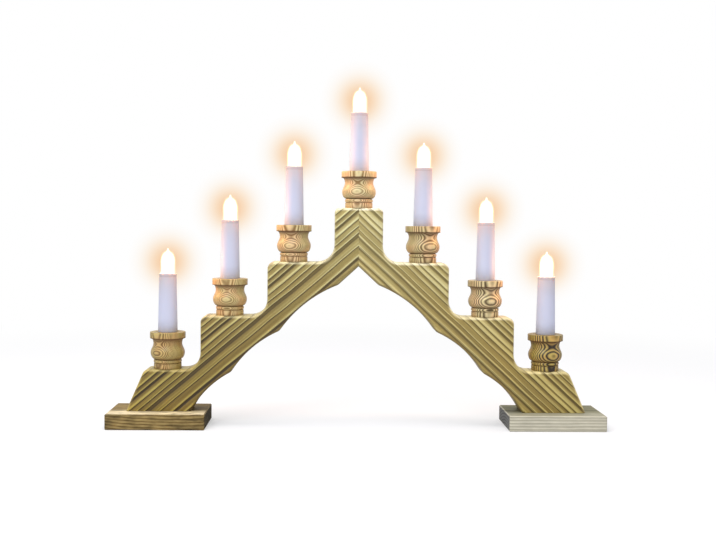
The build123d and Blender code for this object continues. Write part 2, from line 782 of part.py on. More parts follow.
def link_wire(index):
    """From one light's shell to the next light's centre contact."""
    x0, z0 = wire_points(index, 1)
    x1, z1 = wire_points(index + 1, -1)
    rising = STEP_Z[index + 1] > STEP_Z[index]
    points = [(x0, 0, z0), corner(index, 1, rising), corner(index + 1, -1, not rising), (x1, 0, z1)]
    bends = [WIRE_TIGHT_BEND, WIRE_EASY_BEND]
    return tube_along(points, bends if rising else bends[::-1], WIRE_DIAMETER)


def pocket_points(side):
    """The end of a wire in the gland's pocket: in from the groove, then back to the gland."""
    z = GLAND_Z + side * GLAND_WIRE_SPREAD / 2
    back = BACK - GLAND_LENGTH - LOOSE
    return [(GLAND_X, back - GLAND_WIRE_REACH, z), (GLAND_X, back, z)]


def lead_wire():
    """From the pocket to the first light."""
    x, z = wire_points(0, -1)
    points = [(x, 0, z), (x, 0, groove_at(x))] + pocket_points(-1)
    return tube_along(points, [WIRE_TIGHT_BEND, WIRE_TIGHT_BEND - WIRE_DIAMETER / 2], WIRE_DIAMETER)


def return_wire():
    """From the last light back along the whole groove to the pocket."""
    last, middle = len(LIGHT_X) - 1, SIDE_LIGHT_COUNT
    x, z = wire_points(last, 1)
    points = [(x, 0, z), (x, 0, GROOVE_Z[last])]
    points.append((x - TURN_STEP_BACK, RETURN_WIRE_Y, GROOVE_Z[last]))
    for index in (last - 1, middle, 1, 0):
        points.append((LIGHT_X[index], RETURN_WIRE_Y, GROOVE_Z[index]))
    points += pocket_points(1)
    tight, easy = WIRE_TIGHT_BEND, WIRE_EASY_BEND
    bends = [tight, tight, easy, easy, easy, easy, tight - WIRE_DIAMETER / 2]
    return tube_along(points, bends, WIRE_DIAMETER)


def cord_gland():
    """The flanged bushing in the back."""
    inner, bore = BACK - GLAND_LENGTH, GLAND_BORE_DIAMETER / 2
    body, flange = GLAND_DIAMETER / 2, GLAND_FLANGE_DIAMETER / 2
    outer = BACK + GLAND_FLANGE
    points = [(bore, inner), (body, inner), (body, BACK), (flange, BACK)]
    points += [(flange, outer - GLAND_EDGE), (flange - GLAND_EDGE, outer), (bore, outer)]
    return at(GLAND_X, GLAND_Z) * Rot(-90, 0, 0) * turned(points)


def group(solids):
    return Compound(children=[solid.solid() for solid in solids])


def light_nodes(number, x, rim, top):
    """The seven nodes that each light has of its own."""
    base = rim - CUP_HEIGHT
    return {
        f"candle_cup_{number}": at(x, base) * cup(),
        f"candle_sleeve_{number}": at(x, top) * sleeve(),
        f"lamp_holder_{number}": at(x, top) * lamp_holder(),
        f"bulb_glass_{number}": at(x, top) * bulb_glass(),
        f"bulb_cap_{number}": at(x, top) * bulb_cap(),
        f"bulb_filament_{number}": at(x, top) * bulb_filament(),
        f"bulb_contact_{number}": at(x, top) * bulb_contact(),
    }


def all_nodes():
    nodes = {
        "arch_half_left": arch_half(-1),
        "arch_half_right": arch_half(1),
        "foot_left": foot(-1),
        "foot_right": foot(1),
    }
    for index, (x, rim, top) in enumerate(zip(LIGHT_X, RIM_Z, SLEEVE_TOP_Z)):
        nodes.update(light_nodes(index + 1, x, rim, top))
    tops = list(zip(LIGHT_X, SLEEVE_TOP_Z))
    screws = [at(x, SCREW_SINK) * foot_screw() for side in (-1, 1) for x in screw_axes(side)]
    links = [link_wire(index) for index in range(len(LIGHT_X) - 1)]
    nodes["screw_shells"] = group([at(x, z) * screw_shell() for x, z in tops])
    nodes["centre_contacts"] = group([at(x, z) * centre_contact() for x, z in tops])
    nodes["series_wires"] = group([lead_wire()] + links + [return_wire()])
    nodes["wire_staples"] = group([on_back(*place) * staple() for place in staple_places()])
    nodes["apex_dowels"] = group(dowels())
    nodes["foot_screws"] = group(screws)
    nodes["cord_gland"] = cord_gland()
    return nodes


os.makedirs("parts", exist_ok=True)
for name, shape in all_nodes().items():
    export_step(shape, f"parts/{name}.step")
print("lights at", [round(x, 1) for x in LIGHT_X], "height", round(max(SLEEVE_TOP_Z) + BULB_VISIBLE, 1))
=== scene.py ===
# %% [markdown]
# # A candle arch for the window
# Two stepped pine planks lean together under the middle light. Their fronts are brushed, so the
# hard grain stands up in ridges. Seven turned cups carry white sleeves and small lit bulbs. The
# joiner's measured model comes in first and stays where it is: this lesson only gives it its looks.

import math

import bmesh
import bpy
import numpy as np
from mathutils import Matrix, Vector, geometry


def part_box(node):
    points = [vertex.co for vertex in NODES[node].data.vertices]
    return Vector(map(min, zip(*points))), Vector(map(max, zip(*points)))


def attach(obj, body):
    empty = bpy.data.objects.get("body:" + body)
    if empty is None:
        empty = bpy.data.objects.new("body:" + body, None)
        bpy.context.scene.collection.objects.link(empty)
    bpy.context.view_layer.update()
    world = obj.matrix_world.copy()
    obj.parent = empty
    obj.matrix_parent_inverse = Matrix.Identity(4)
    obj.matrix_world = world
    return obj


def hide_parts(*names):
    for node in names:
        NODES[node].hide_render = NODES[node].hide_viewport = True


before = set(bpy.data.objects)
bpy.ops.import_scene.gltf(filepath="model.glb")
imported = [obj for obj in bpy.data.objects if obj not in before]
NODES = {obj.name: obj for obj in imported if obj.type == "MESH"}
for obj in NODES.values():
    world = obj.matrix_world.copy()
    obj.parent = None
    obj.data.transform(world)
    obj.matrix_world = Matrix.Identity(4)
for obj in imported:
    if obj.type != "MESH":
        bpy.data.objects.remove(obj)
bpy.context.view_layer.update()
MM = 0.001
LIGHTS = range(1, 8)

# %% [markdown]
# The camera comes first, because every later choice is judged through it. Its place was found by
# matching the corners of the feet and the rims of the cups. It stands a metre away, a little to the
# left and a little above the middle, and it is rolled by half a degree.

# %% The camera
CAMERA_AZIMUTH = -1.59
CAMERA_ELEVATION = 2.64
CAMERA_ROLL = 0.57
CAMERA_DISTANCE = 1.0
CAMERA_TARGET = Vector((-0.0002, 0, 0.157))
CAMERA_LENS = 50


def new_object(name, data):
    """An object in the scene, at the origin."""
    made = bpy.data.objects.new(name, data)
    bpy.context.scene.collection.objects.link(made)
    return made


def make_camera():
    azimuth, elevation = math.radians(CAMERA_AZIMUTH), math.radians(CAMERA_ELEVATION)
    back = Vector((
        math.sin(azimuth) * math.cos(elevation),
        -math.cos(azimuth) * math.cos(elevation),
        math.sin(elevation),
    ))
    camera = new_object("camera", bpy.data.cameras.new("camera"))
    camera.data.lens = CAMERA_LENS
    camera.location = CAMERA_TARGET + back * CAMERA_DISTANCE
    turn = (-back).to_track_quat("-Z", "Y").to_matrix()
    roll = Matrix.Rotation(math.radians(CAMERA_ROLL), 3, "Z")
    camera.rotation_euler = (turn @ roll).to_euler()
    bpy.context.scene.camera = camera
    return camera


camera = make_camera()
print("camera at", [round(v, 3) for v in camera.location])

# %% [markdown]
# Every finish below is a node tree. Wiring trees by hand takes many lines, so small helpers come
# first. `put` adds a node, fills its inputs and gives back one of its outputs as a `Value`. Values
# stand in sums: `a * b + c` adds the Math nodes for it. `calc` is for a Math node without a sign of
# its own. `paint` turns the colour values of a paint chart into the linear ones of the shaders.


# %% Helpers for node trees
class Value:
    """What a node gives out. A sum with it adds a Math node to the same tree."""

    def __init__(self, socket):
        self.socket, self.tree = socket, socket.id_data

    def __add__(self, other):
        return calc("ADD", self, other)

    def __sub__(self, other):
        return calc("SUBTRACT", self, other)

    def __rsub__(self, other):
        return calc("SUBTRACT", other, self)

    def __mul__(self, other):
        return calc("MULTIPLY", self, other)

    def __truediv__(self, other):
        return calc("DIVIDE", self, other)


def feed(socket, value):
    """Links a value to an input, or sets the input to a plain number or colour."""
    if isinstance(value, Value):
        value.tree.links.new(value.socket, socket)
    else:
        socket.default_value = value


def put(tree, kind, inputs=None, gives=0, **settings):
    """Adds a node, sets its options, then its inputs, and gives back one output."""
    node = tree.nodes.new(kind)
    for option, value in settings.items():
        setattr(node, option, value)
    for key, value in (inputs or {}).items():
        feed(node.inputs[key], value)
    return Value(node.outputs[gives])


def tree_of(values):
    """The tree of the first node output among some inputs."""
    return next(value.tree for value in values if isinstance(value, Value))


def calc(operation, *values):
    """One Math node; its inputs are numbers or values."""
    return put(tree_of(values), "ShaderNodeMath", dict(enumerate(values)), operation=operation)


def at_least(value, floor):
    return calc("MAXIMUM", value, floor)


def smooth(value, low, high):
    """Rises smoothly from 0 at the low value to 1 at the high one."""
    inputs = {"Value": value, "From Min": low, "From Max": high}
    return put(value.tree, "ShaderNodeMapRange", inputs, interpolation_type="SMOOTHSTEP")


# %% Helpers for vectors
def split(vector):
    """The X, Y and Z of a vector."""
    first = put(vector.tree, "ShaderNodeSeparateXYZ", {0: vector})
    return [Value(socket) for socket in first.socket.node.outputs]


def join(*parts):
    """A vector from up to three numbers or values."""
    return put(tree_of(parts), "ShaderNodeCombineXYZ", dict(enumerate(parts)))


def length(vector):
    return put(vector.tree, "ShaderNodeVectorMath", {0: vector}, "Value", operation="LENGTH")


def stretched(vector, scale):
    return put(vector.tree, "ShaderNodeVectorMath", {0: vector, 1: scale}, operation="MULTIPLY")


def noise(vector, scale, detail=3.0, rough=0.5):
    inputs = {"Vector": vector, "Scale": scale, "Detail": detail, "Roughness": rough}
    return put(vector.tree, "ShaderNodeTexNoise", inputs)


def bump(height, strength, depth):
    inputs = {"Height": height, "Strength": strength, "Distance": depth}
    return put(height.tree, "ShaderNodeBump", inputs)


# %% Helpers for colours
WHITE = (1, 1, 1, 1)


def paint(red, green, blue):
    """A colour from its values of 0 to 255, made linear."""
    shares = [value / 255 for value in (red, green, blue)]
    linear = [s / 12.92 if s <= 0.04045 else ((s + 0.055) / 1.055) ** 2.4 for s in shares]
    return (*linear, 1)


def darker(colour, share):
    return (*(channel * share for channel in colour[:3]), 1)


def grey(value):
    return put(value.tree, "ShaderNodeCombineColor", {0: value, 1: value, 2: value})


def blend(share, first, second, mode="MIX"):
    """Mixes two colours; the share runs from the first to the second."""
    inputs = {0: share, 6: first, 7: second}
    tree = tree_of(inputs.values())
    return put(tree, "ShaderNodeMix", inputs, 2, data_type="RGBA", blend_type=mode)


def tinted(colour, tint):
    return blend(1.0, colour, tint, "MULTIPLY")


def ramp(value, *stops):
    """A colour ramp from (place, colour) pairs."""
    colour = put(value.tree, "ShaderNodeValToRGB", {0: value})
    elements = colour.socket.node.color_ramp.elements
    while len(elements) < len(stops):
        elements.new(0)
    for element, stop in zip(elements, stops):
        element.position, element.color = stop
    return colour


# %% [markdown]
# A finish starts as a Principled shader with its plain numbers set on its own sockets. The pattern
# is wired to the colour, the roughness and the bump afterwards.


# %% A new finish
def wire(shader, **sockets):
    """Sets or links the shader's inputs, named with _ for a space."""
    for key, value in sockets.items():
        feed(shader.inputs[key.replace("_", " ")], value)


def new_finish(name, **sockets):
    """A material with one Principled shader. Returns the material, its tree and the shader."""
    finish = bpy.data.materials.new(name)
    finish.use_nodes = True
    shader = finish.node_tree.nodes["Principled BSDF"]
    wire(shader, **sockets)
    return finish, finish.node_tree, shader


def here(tree):
    """The point in the object's own space."""
    return put(tree, "ShaderNodeTexCoord", gives="Object")


def facing(tree):
    """The X, Y and Z of the direction that the surface faces."""
    return split(put(tree, "ShaderNodeNewGeometry", gives="Normal"))


def stored(tree, name, gives="Fac"):
    """What a mesh keeps for each point under a name."""
    return put(tree, "ShaderNodeAttribute", gives=gives, attribute_name=name)


# %% [markdown]
# The brushed front of a plank is the main surface of this object, and it follows a rule. The wood
# has parallel growth rings that slope down from the mitre to the feet. A steel brush takes the soft
# wood away between them. So the front needs a dense, even mesh, which the measured model doesn't
# have. A copy of the half is cut off just behind its rounded front edge, and a new front is laid in
# the cut. The sides, the back and the bores stay exactly as measured.

# %% The half behind its front edge, and the loop where it was cut
EDGE_RADIUS = 3.0 * MM
CUT_BEHIND_EDGE = 0.05 * MM
WELD = 0.001 * MM
SPACING = 1.2 * MM
FRONT_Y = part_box("arch_half_left")[0].y
LEAST_STEP = 0.35 * MM


def back_of(node, cut_y):
    """A merged copy of a CAD node behind the cut, with short edges along the cut."""
    mesh = bmesh.new()
    mesh.from_mesh(NODES[node].data)
    bmesh.ops.remove_doubles(mesh, verts=mesh.verts[:], dist=WELD)
    whole = mesh.verts[:] + mesh.edges[:] + mesh.faces[:]
    cut = {"plane_co": (0, cut_y, 0), "plane_no": (0, -1, 0), "clear_outer": True}
    bmesh.ops.bisect_plane(mesh, geom=whole, dist=WELD, **cut)
    bmesh.ops.remove_doubles(mesh, verts=mesh.verts[:], dist=WELD)
    rim = [vertex for vertex in mesh.verts if vertex.is_boundary]
    bmesh.ops.remove_doubles(mesh, verts=rim, dist=LEAST_STEP)
    for edge in [edge for edge in mesh.edges if edge.is_boundary]:
        cuts = int(edge.calc_length() / SPACING)
        if cuts:
            bmesh.ops.subdivide_edges(mesh, edges=[edge], cuts=cuts)
    return mesh


def boundary_loop(mesh):
    """The vertices of the open edge in order, counter-clockwise seen from the front."""
    edges = [edge for edge in mesh.edges if edge.is_boundary]
    loop = [edges[0].verts[0]]
    edge = edges[0]
    while True:
        vertex = edge.other_vert(loop[-1])
        if vertex is loop[0]:
            break
        loop.append(vertex)
        edge = next(e for e in vertex.link_edges if e.is_boundary and e is not edge)
    area = sum(a.co.x * b.co.z - b.co.x * a.co.z for a, b in zip(loop, loop[1:] + loop[:1]))
    return loop if area > 0 else loop[::-1]


# %% [markdown]
# The rounded edge is a stack of rings. Each ring is the outline moved inwards a little and forwards
# a little. The mitre and the sole on the foot aren't rounded, so those sides hold their place. A
# corner between a moved and a held side slides along the held one, so the vertices of a held side
# are spread out again between its two corners.

# %% Rings for the rounded edge
EDGE_RINGS = 6
SEAM_CHAMFER = 0.35 * MM
STRAIGHT = 0.995
ON_LINE = 0.1 * MM


def side_amounts(points, rounded, sole, seam):
    """How far each side of the outline moves inwards."""
    after = np.roll(points, -1, axis=0)
    on_seam = np.maximum(abs(points[:, 0]), abs(after[:, 0])) < ON_LINE
    on_sole = np.maximum(points[:, 1], after[:, 1]) < sole + ON_LINE
    return np.where(on_seam | on_sole, seam, rounded)


def moved_in(points, amounts):
    """The outline with each side moved inwards by its own amount."""
    run = np.roll(points, -1, axis=0) - points
    run /= np.linalg.norm(run, axis=1, keepdims=True)
    inward = np.column_stack((-run[:, 1], run[:, 0]))
    before, after = np.roll(inward, 1, axis=0), inward
    d0, d1 = np.roll(amounts, 1), amounts
    turn = np.sum(before * after, axis=1)
    corner = 1 - np.minimum(turn, STRAIGHT) ** 2
    a = (d0 - turn * d1) / corner
    b = (d1 - turn * d0) / corner
    sharp = before * a[:, None] + after * b[:, None]
    middle = before + after
    middle /= np.linalg.norm(middle, axis=1, keepdims=True)
    gentle = middle * ((d0 + d1) / 2)[:, None]
    return points + np.where((turn > STRAIGHT)[:, None], gentle, sharp)


def evened(points, moved, held):
    """Spreads the vertices of each held side evenly between its moved ends."""
    count = len(points)
    for first in [i for i in range(count) if held[i] and not held[i - 1]]:
        run = [first]
        while held[run[-1]]:
            run.append((run[-1] + 1) % count)
        last = run[-1]
        whole = np.linalg.norm(points[last] - points[first])
        for i in run[1:-1]:
            share = np.linalg.norm(points[i] - points[first]) / whole
            moved[i] = moved[first] + (moved[last] - moved[first]) * share
    return moved


def above(points, level):
    """Puts points that fell below a level onto the nearest point that didn't."""
    fallen = points[:, 1] < level - WELD
    for i in np.nonzero(fallen)[0]:
        away = np.linalg.norm(points - points[i], axis=1)
        away[fallen] = np.inf
        points[i] = points[away.argmin()]
    return points


# %% [markdown]
# Inside the last ring the front is flat before it is brushed. It is filled with a grid of points that
# runs along the ridges: close together across them, where the height changes fast, and further apart
# along them. Blender's own Delaunay triangulation joins the grid to the ring.

# %% Points inside an outline
RIDGE_ANGLE = {-1: math.radians(40.3), 1: math.radians(42.9)}
ACROSS_STEP = 0.62 * MM
ALONG_STEP = 1.25 * MM
CLEAR_OF_RING = 0.7


def inside(points, outline):
    """Which points lie inside, by counting the sides that a line to the left of each meets."""
    crossings = np.zeros(len(points), int)
    for (x0, z0), (x1, z1) in zip(outline, np.roll(outline, -1, axis=0)):
        if z0 == z1:
            continue
        spans = (points[:, 1] < z0) != (points[:, 1] < z1)
        meets = x0 + (points[:, 1] - z0) * (x1 - x0) / (z1 - z0)
        crossings += spans & (meets < points[:, 0])
    return crossings % 2 == 1


def clear_of(points, outline, gap):
    """Which points are further than the gap from every corner of the outline."""
    nearest = np.full(len(points), np.inf)
    for corner in outline:
        away = points - corner
        nearest = np.minimum(nearest, (away * away).sum(axis=1))
    return nearest > gap * gap


def ridge_grid(outline, side):
    """A staggered grid along the ridges of one half, kept inside its outline."""
    cos, sin = math.cos(RIDGE_ANGLE[side]), math.sin(RIDGE_ANGLE[side])
    along = outline[:, 0] * cos * side - outline[:, 1] * sin
    across = outline[:, 0] * sin * side + outline[:, 1] * cos
    rows = np.arange(across.min(), across.max(), ACROSS_STEP)
    steps = np.arange(along.min(), along.max(), ALONG_STEP)
    u, v = np.meshgrid(steps, rows)
    u = u + (np.arange(len(rows)) % 2)[:, None] * ALONG_STEP / 2
    u, v = u.ravel(), v.ravel()
    points = np.column_stack(((u * cos + v * sin) * side, v * cos - u * sin))
    points = points[inside(points, outline)]
    return points[clear_of(points, outline, CLEAR_OF_RING * SPACING)]


# %% [markdown]
# Now the pieces come together: the measured back, the rings and the filled front. Every new vertex
# keeps a number called `brushed`, from 0 at the side wall to 1 on the flat front, so that the ridges
# can run out over the rounded edge. Only the measured edges behind the cut are marked sharp.


# %% One half with a dense front
SHARP_FROM = math.radians(30)


def dense_half(node, side):
    mesh = back_of(node, FRONT_Y + EDGE_RADIUS + CUT_BEHIND_EDGE)
    brushed = mesh.verts.layers.float.new("brushed")
    loop = boundary_loop(mesh)
    outline = np.array([(v.co.x, v.co.z) for v in loop])
    sole = outline[:, 1].min()
    for ring in range(1, EDGE_RINGS + 1):
        angle = math.pi / 2 * ring / EDGE_RINGS
        rounded = EDGE_RADIUS * (1 - math.cos(angle))
        seam = SEAM_CHAMFER * max(0, ring - EDGE_RINGS + 1)
        amounts = side_amounts(outline, rounded, sole, seam)
        points = evened(outline, moved_in(outline, amounts), amounts == seam)
        points = above(points, sole + seam)
        y = FRONT_Y + EDGE_RADIUS * (1 - math.sin(angle))
        next_loop = [mesh.verts.new((x, y, z)) for x, z in points]
        for vertex in next_loop:
            vertex[brushed] = 1 - math.cos(angle)
        for i, vertex in enumerate(loop):
            j = (i + 1) % len(loop)
            mesh.faces.new((vertex, loop[j], next_loop[j], next_loop[i]))
        loop = next_loop
    fill_front(mesh, loop, brushed, side)
    bmesh.ops.remove_doubles(mesh, verts=mesh.verts[:], dist=WELD)
    bmesh.ops.triangulate(mesh, faces=mesh.faces[:])
    bmesh.ops.recalc_face_normals(mesh, faces=mesh.faces[:])
    for edge in mesh.edges:
        behind = edge.verts[0][brushed] == 0 and edge.verts[1][brushed] == 0
        edge.smooth = not (behind and edge.calc_face_angle(0) > SHARP_FROM)
    return mesh


def fill_front(mesh, loop, brushed, side):
    """Closes the last ring with a flat, dense front."""
    outline = np.array([(v.co.x, v.co.z) for v in loop])
    grid = ridge_grid(outline, side)
    flat = [Vector(point) for point in np.vstack((outline, grid)).tolist()]
    ring = [list(range(len(outline)))]
    points, _, faces, sources, _, _ = geometry.delaunay_2d_cdt(flat, [], ring, 1, WELD / 10)
    vertices = []
    for point, source in zip(points, sources):
        on_ring = [index for index in source if index < len(loop)]
        if on_ring:
            vertices.append(loop[on_ring[0]])
        else:
            vertices.append(mesh.verts.new((point.x, loop[0].co.y, point.y)))
            vertices[-1][brushed] = 1
    for face in faces:
        corners = [vertices[i] for i in face]
        if len(set(corners)) == 3 and mesh.faces.get(corners) is None:
            mesh.faces.new(corners)


def as_object(name, mesh):
    """A new object at the origin from a bmesh."""
    data = bpy.data.meshes.new(name)
    mesh.to_mesh(data)
    mesh.free()
    return new_object(name, data)


def tell(piece):
    """Prints how many faces a piece has, and how many edges without exactly two faces."""
    mesh = bmesh.new()
    mesh.from_mesh(piece.data)
    count = sum(len(edge.link_faces) != 2 for edge in mesh.edges)
    mesh.free()
    print(piece.name, len(piece.data.polygons), "faces,", count, "open edges")


halves = {}
for name, side in (("left", -1), ("right", 1)):
    half = as_object(f"brushed_half_{name}", dense_half(f"arch_half_{name}", side))
    tell(half)
    halves[name] = half

# %% [markdown]
# The ridges could be modelled one by one, but they follow a rule, so Geometry Nodes move the dense
# front instead. Each point is measured across the grain, that measure is bent a little by noise, and
# ridges are counted along it: fine ones near the step tops, wide ones near the underside. The
# fraction between two counts gives the depth. A ridge isn't a round rope: it overlaps the next one
# like a shingle, with its crest low down, a steep drop below that and a gentle slope above. The same
# sums are needed again in the stain, so one function builds them in either kind of tree.

# %% Counting ridges across the grain
FINE_RIDGE = {-1: 5.8 * MM, 1: 5.6 * MM}
WIDE_RIDGE = {-1: 9.0 * MM, 1: 8.0 * MM}
CHANGE_PLACE = {-1: 148 * MM, 1: 137 * MM}
CHANGE_WIDTH = 8 * MM
FIRST_VALLEY = {-1: 176 * MM, 1: 156 * MM}
WAVINESS = 4.2 * MM
WAVES_ALONG, WAVES_ACROSS = 11.0, 26.0
UNEVEN, UNEVEN_SCALE = 0.9, 55.0
SEEDS = {-1: 3.0, 1: 8.0}
CREST_PLACE = 0.17
SLOPE_POWER = 1.9
STREAKS_ALONG, STREAKS_ACROSS = 26.0, 420.0
FIBRES_ALONG, FIBRES_ACROSS = 40.0, 1400.0
BRUSHED_BUMP, TURNED_BUMP, PLANED_BUMP = (0.3, 0.3 * MM), (0.2, 0.2 * MM), (0.25, 0.25 * MM)


def grain_place(point, side):
    """Distances along and across the grain of one half."""
    x, _, z = split(point)
    cos, sin = math.cos(RIDGE_ANGLE[side]), math.sin(RIDGE_ANGLE[side])
    return x * (cos * side) - z * sin, x * (sin * side) + z * cos


def ridge_count(along, across, side):
    """How many ridges lie below this place, with a fraction."""
    waves = join(along * WAVES_ALONG, across * WAVES_ACROSS, SEEDS[side])
    across = (noise(waves, 1.0, rough=0.42) - 0.5) * WAVINESS + across
    fine, wide = 1 / FINE_RIDGE[side], 1 / WIDE_RIDGE[side]
    below = calc("SMOOTH_MAX", CHANGE_PLACE[side] - across, 0.0, CHANGE_WIDTH)
    count = (across - FIRST_VALLEY[side]) * fine + below * (fine - wide)
    uneven = {"W": across * UNEVEN_SCALE + SEEDS[side], "Detail": 1.0}
    uneven = put(across.tree, "ShaderNodeTexNoise", uneven, noise_dimensions="1D")
    return (uneven - 0.5) * UNEVEN + count


def share_and_lot(count, seed):
    """The place within one ridge, and a random number that each ridge keeps."""
    lot = {"W": calc("FLOOR", count) + seed}
    lot = put(count.tree, "ShaderNodeTexWhiteNoise", lot, noise_dimensions="1D")
    return calc("FRACT", count), lot


def hollow_of(share):
    """How deep a place lies, from 0 on the crest of its ridge to 1 in the valley."""
    past_crest = share - CREST_PLACE
    slope = at_least(past_crest / (1 - CREST_PLACE), 0.0)
    return at_least(past_crest / -CREST_PLACE, calc("POWER", slope, SLOPE_POWER))


def streak_noise(along, across, seed):
    """Broken streaks a few millimetres wide along the grain."""
    return noise(join(along * STREAKS_ALONG, across * STREAKS_ACROSS, seed), 1.0, 2.0, 0.55)


def fibre_noise(along, across, third):
    """Fine streaks along the grain."""
    streaks = join(along * FIBRES_ALONG, across * FIBRES_ACROSS, third * FIBRES_ACROSS)
    return noise(streaks, 1.0, rough=0.6)


# %% Helpers for Geometry Nodes
def new_tree(name, inputs):
    """A Geometry Nodes tree with a mesh input, named inputs and a mesh output."""
    tree = bpy.data.node_groups.new(name, "GeometryNodeTree")
    for label, kind in {"Geometry": "Geometry", **inputs}.items():
        tree.interface.new_socket(label, in_out="INPUT", socket_type="NodeSocket" + kind)
    tree.interface.new_socket("Geometry", in_out="OUTPUT", socket_type="NodeSocketGeometry")
    given = tree.nodes.new("NodeGroupInput").outputs
    return tree, {label: Value(given[label]) for label in ("Geometry", *inputs)}


def store(mesh, name, value, kind="FLOAT"):
    """Keeps a value for each point under a name that a material can read."""
    inputs = {"Geometry": mesh, "Name": name, "Value": value}
    return put(mesh.tree, "GeometryNodeStoreNamedAttribute", inputs, data_type=kind, domain="POINT")


def named(tree, name):
    """Reads a number that was kept for each point."""
    return put(tree, "GeometryNodeInputNamedAttribute", {"Name": name}, data_type="FLOAT")


def finish_tree(mesh, material):
    """Every tree here ends in Realize Instances and Set Material."""
    real = put(mesh.tree, "GeometryNodeRealizeInstances", {0: mesh})
    dressed = put(mesh.tree, "GeometryNodeSetMaterial", {"Geometry": real, "Material": material})
    feed(mesh.tree.nodes.new("NodeGroupOutput").inputs[0], dressed)


def run_tree(piece, tree, **values):
    """Runs a tree on a piece, keeps the result as its plain mesh and drops the modifier."""
    modifier = piece.modifiers.new(tree.name, "NODES")
    modifier.node_group = tree
    for item in tree.interface.items_tree:
        if item.in_out == "INPUT" and item.name.lower() in values:
            modifier[item.identifier] = values[item.name.lower()]
    bpy.context.view_layer.update()
    shown = piece.evaluated_get(bpy.context.evaluated_depsgraph_get())
    made = bpy.data.meshes.new_from_object(shown)
    piece.modifiers.remove(modifier)
    old, piece.data = piece.data, made
    bpy.data.meshes.remove(old)
    made.name = piece.name
    return piece


# %% The brushed relief as a node tree
RELIEF_DEPTH = 1.35 * MM
EVEN_SHARE = 0.6
STREAK_DEPTH = 0.5 * MM
STREAK_LEVEL = 0.35
VALLEY_REACH = 0.3
RELIEF_FROM, RELIEF_TO = 0.35, 1.1


def relief_tree(side):
    """Sinks the soft wood of one half between its ridges."""
    inputs = {"Depth": "Float", "Streaks": "Float", "Material": "Material"}
    tree, given = new_tree("brushed relief", inputs)
    along, across = grain_place(put(tree, "GeometryNodeInputPosition"), side)
    share, lot = share_and_lot(ridge_count(along, across, side), SEEDS[side])
    hollow = hollow_of(share)
    reach = smooth(hollow * VALLEY_REACH + named(tree, "brushed"), RELIEF_FROM, RELIEF_TO)
    depth = hollow * (lot * (1 - EVEN_SHARE) + EVEN_SHARE) * given["Depth"]
    streaks = at_least(streak_noise(along, across, SEEDS[side]) - STREAK_LEVEL, 0.0)
    depth = streaks * given["Streaks"] + depth
    up = split(put(tree, "GeometryNodeInputNormal"))[2]
    inputs = {"Geometry": store(given["Geometry"], "up", up), "Offset": join(0, depth * reach)}
    finish_tree(put(tree, "GeometryNodeSetPosition", inputs), given["Material"])
    return tree


# %% [markdown]
# The stain follows the relief. The valleys are dark olive brown, partly stain that settled there and
# partly painted shade, and each crest is pale straw, partly stain rubbed back and partly a painted
# highlight. Edges and tops that look up get a painted highlight over some wear, and those that look
# down get painted shade. The sides and the back were only planed, so there the growth rings show as
# thin lines. Fine fibres run along the grain everywhere, and the wood goes from olive near the feet
# to pale higher up.

# %% The brushed and stained pine
# Valleys: stain and painted shade. Crests: rubbed stain and a painted highlight.
VALLEY_STAIN_AND_SHADE = {-1: paint(70, 55, 20), 1: paint(104, 88, 46)}
FLANK = paint(144, 124, 72)
BODY = paint(174, 156, 100)
CREST_STAIN_AND_HIGHLIGHT = {-1: paint(236, 224, 180), 1: paint(214, 200, 150)}
GOLDEN = paint(178, 146, 76)
PLANED = paint(204, 186, 136)
PLANED_LINE = paint(128, 100, 50)
# Pale colour for wear and a painted highlight where the wood looks up.
WORN_HIGHLIGHT = paint(240, 218, 178)
# Painted shade where the wood looks down.
UNDERSIDE_SHADE = paint(112, 88, 42)
LOW_TINT = {-1: (0.58, 0.55, 0.25, 1), 1: (0.92, 0.94, 0.69, 1)}
HIGH_TINT = {-1: (1.16, 1.34, 1.44, 1), 1: (1.28, 1.5, 1.82, 1)}
TINT_LOW_PLACE, TINT_HIGH_PLACE = 45 * MM, 215 * MM
TINT_POWER = 1.25
FADE_UPWARDS = 0.25
GOLDEN_SCALE, GOLDEN_SHARE = 22.0, 0.5
STAIN_FROM, STAIN_TO = 0.12, 0.8
ROUNDED_FROM = 0.08
WORN_HIGHLIGHT_CREST, WORN_HIGHLIGHT_VALLEY, WORN_HIGHLIGHT_WALL = 0.95, 0.35, 0.6
UP_FROM, UP_TO = 0.02, 0.5
DOWN_FROM, DOWN_TO, DOWN_SHADE_SHARE = 0.05, 0.6, 0.8
GRIT_SCALE = 800.0
STREAK_TONE, GRIT_TONE = 0.6, 0.36
BRUSHED_LEVEL = (0.44, 0.12, 0.26)


def wood_level(fibres, lot, shares):
    """How light wood is: a share of the fibres, a share of its ring's lot, and the rest."""
    of_fibres, of_lot, rest = shares
    return fibres * of_fibres + (lot * of_lot + rest)


def stain_and_painted_light(share, height, point, side):
    """The colour of a brushed place: stain, with painted shade in the valleys and a painted highlight
    on the crests.
    """
    colour = ramp(
        share,
        (0.0, VALLEY_STAIN_AND_SHADE[side]), (0.07, VALLEY_STAIN_AND_SHADE[side]), (0.17, CREST_STAIN_AND_HIGHLIGHT[side]), (0.26, CREST_STAIN_AND_HIGHLIGHT[side]),
        (0.5, BODY), (0.8, FLANK), (0.95, VALLEY_STAIN_AND_SHADE[side]),
    )
    colour = blend(height * FADE_UPWARDS, colour, BODY)
    golden = noise(point, GOLDEN_SCALE, 2.0) * GOLDEN_SHARE
    return blend(golden, colour, blend(1.0, colour, GOLDEN, "OVERLAY"))


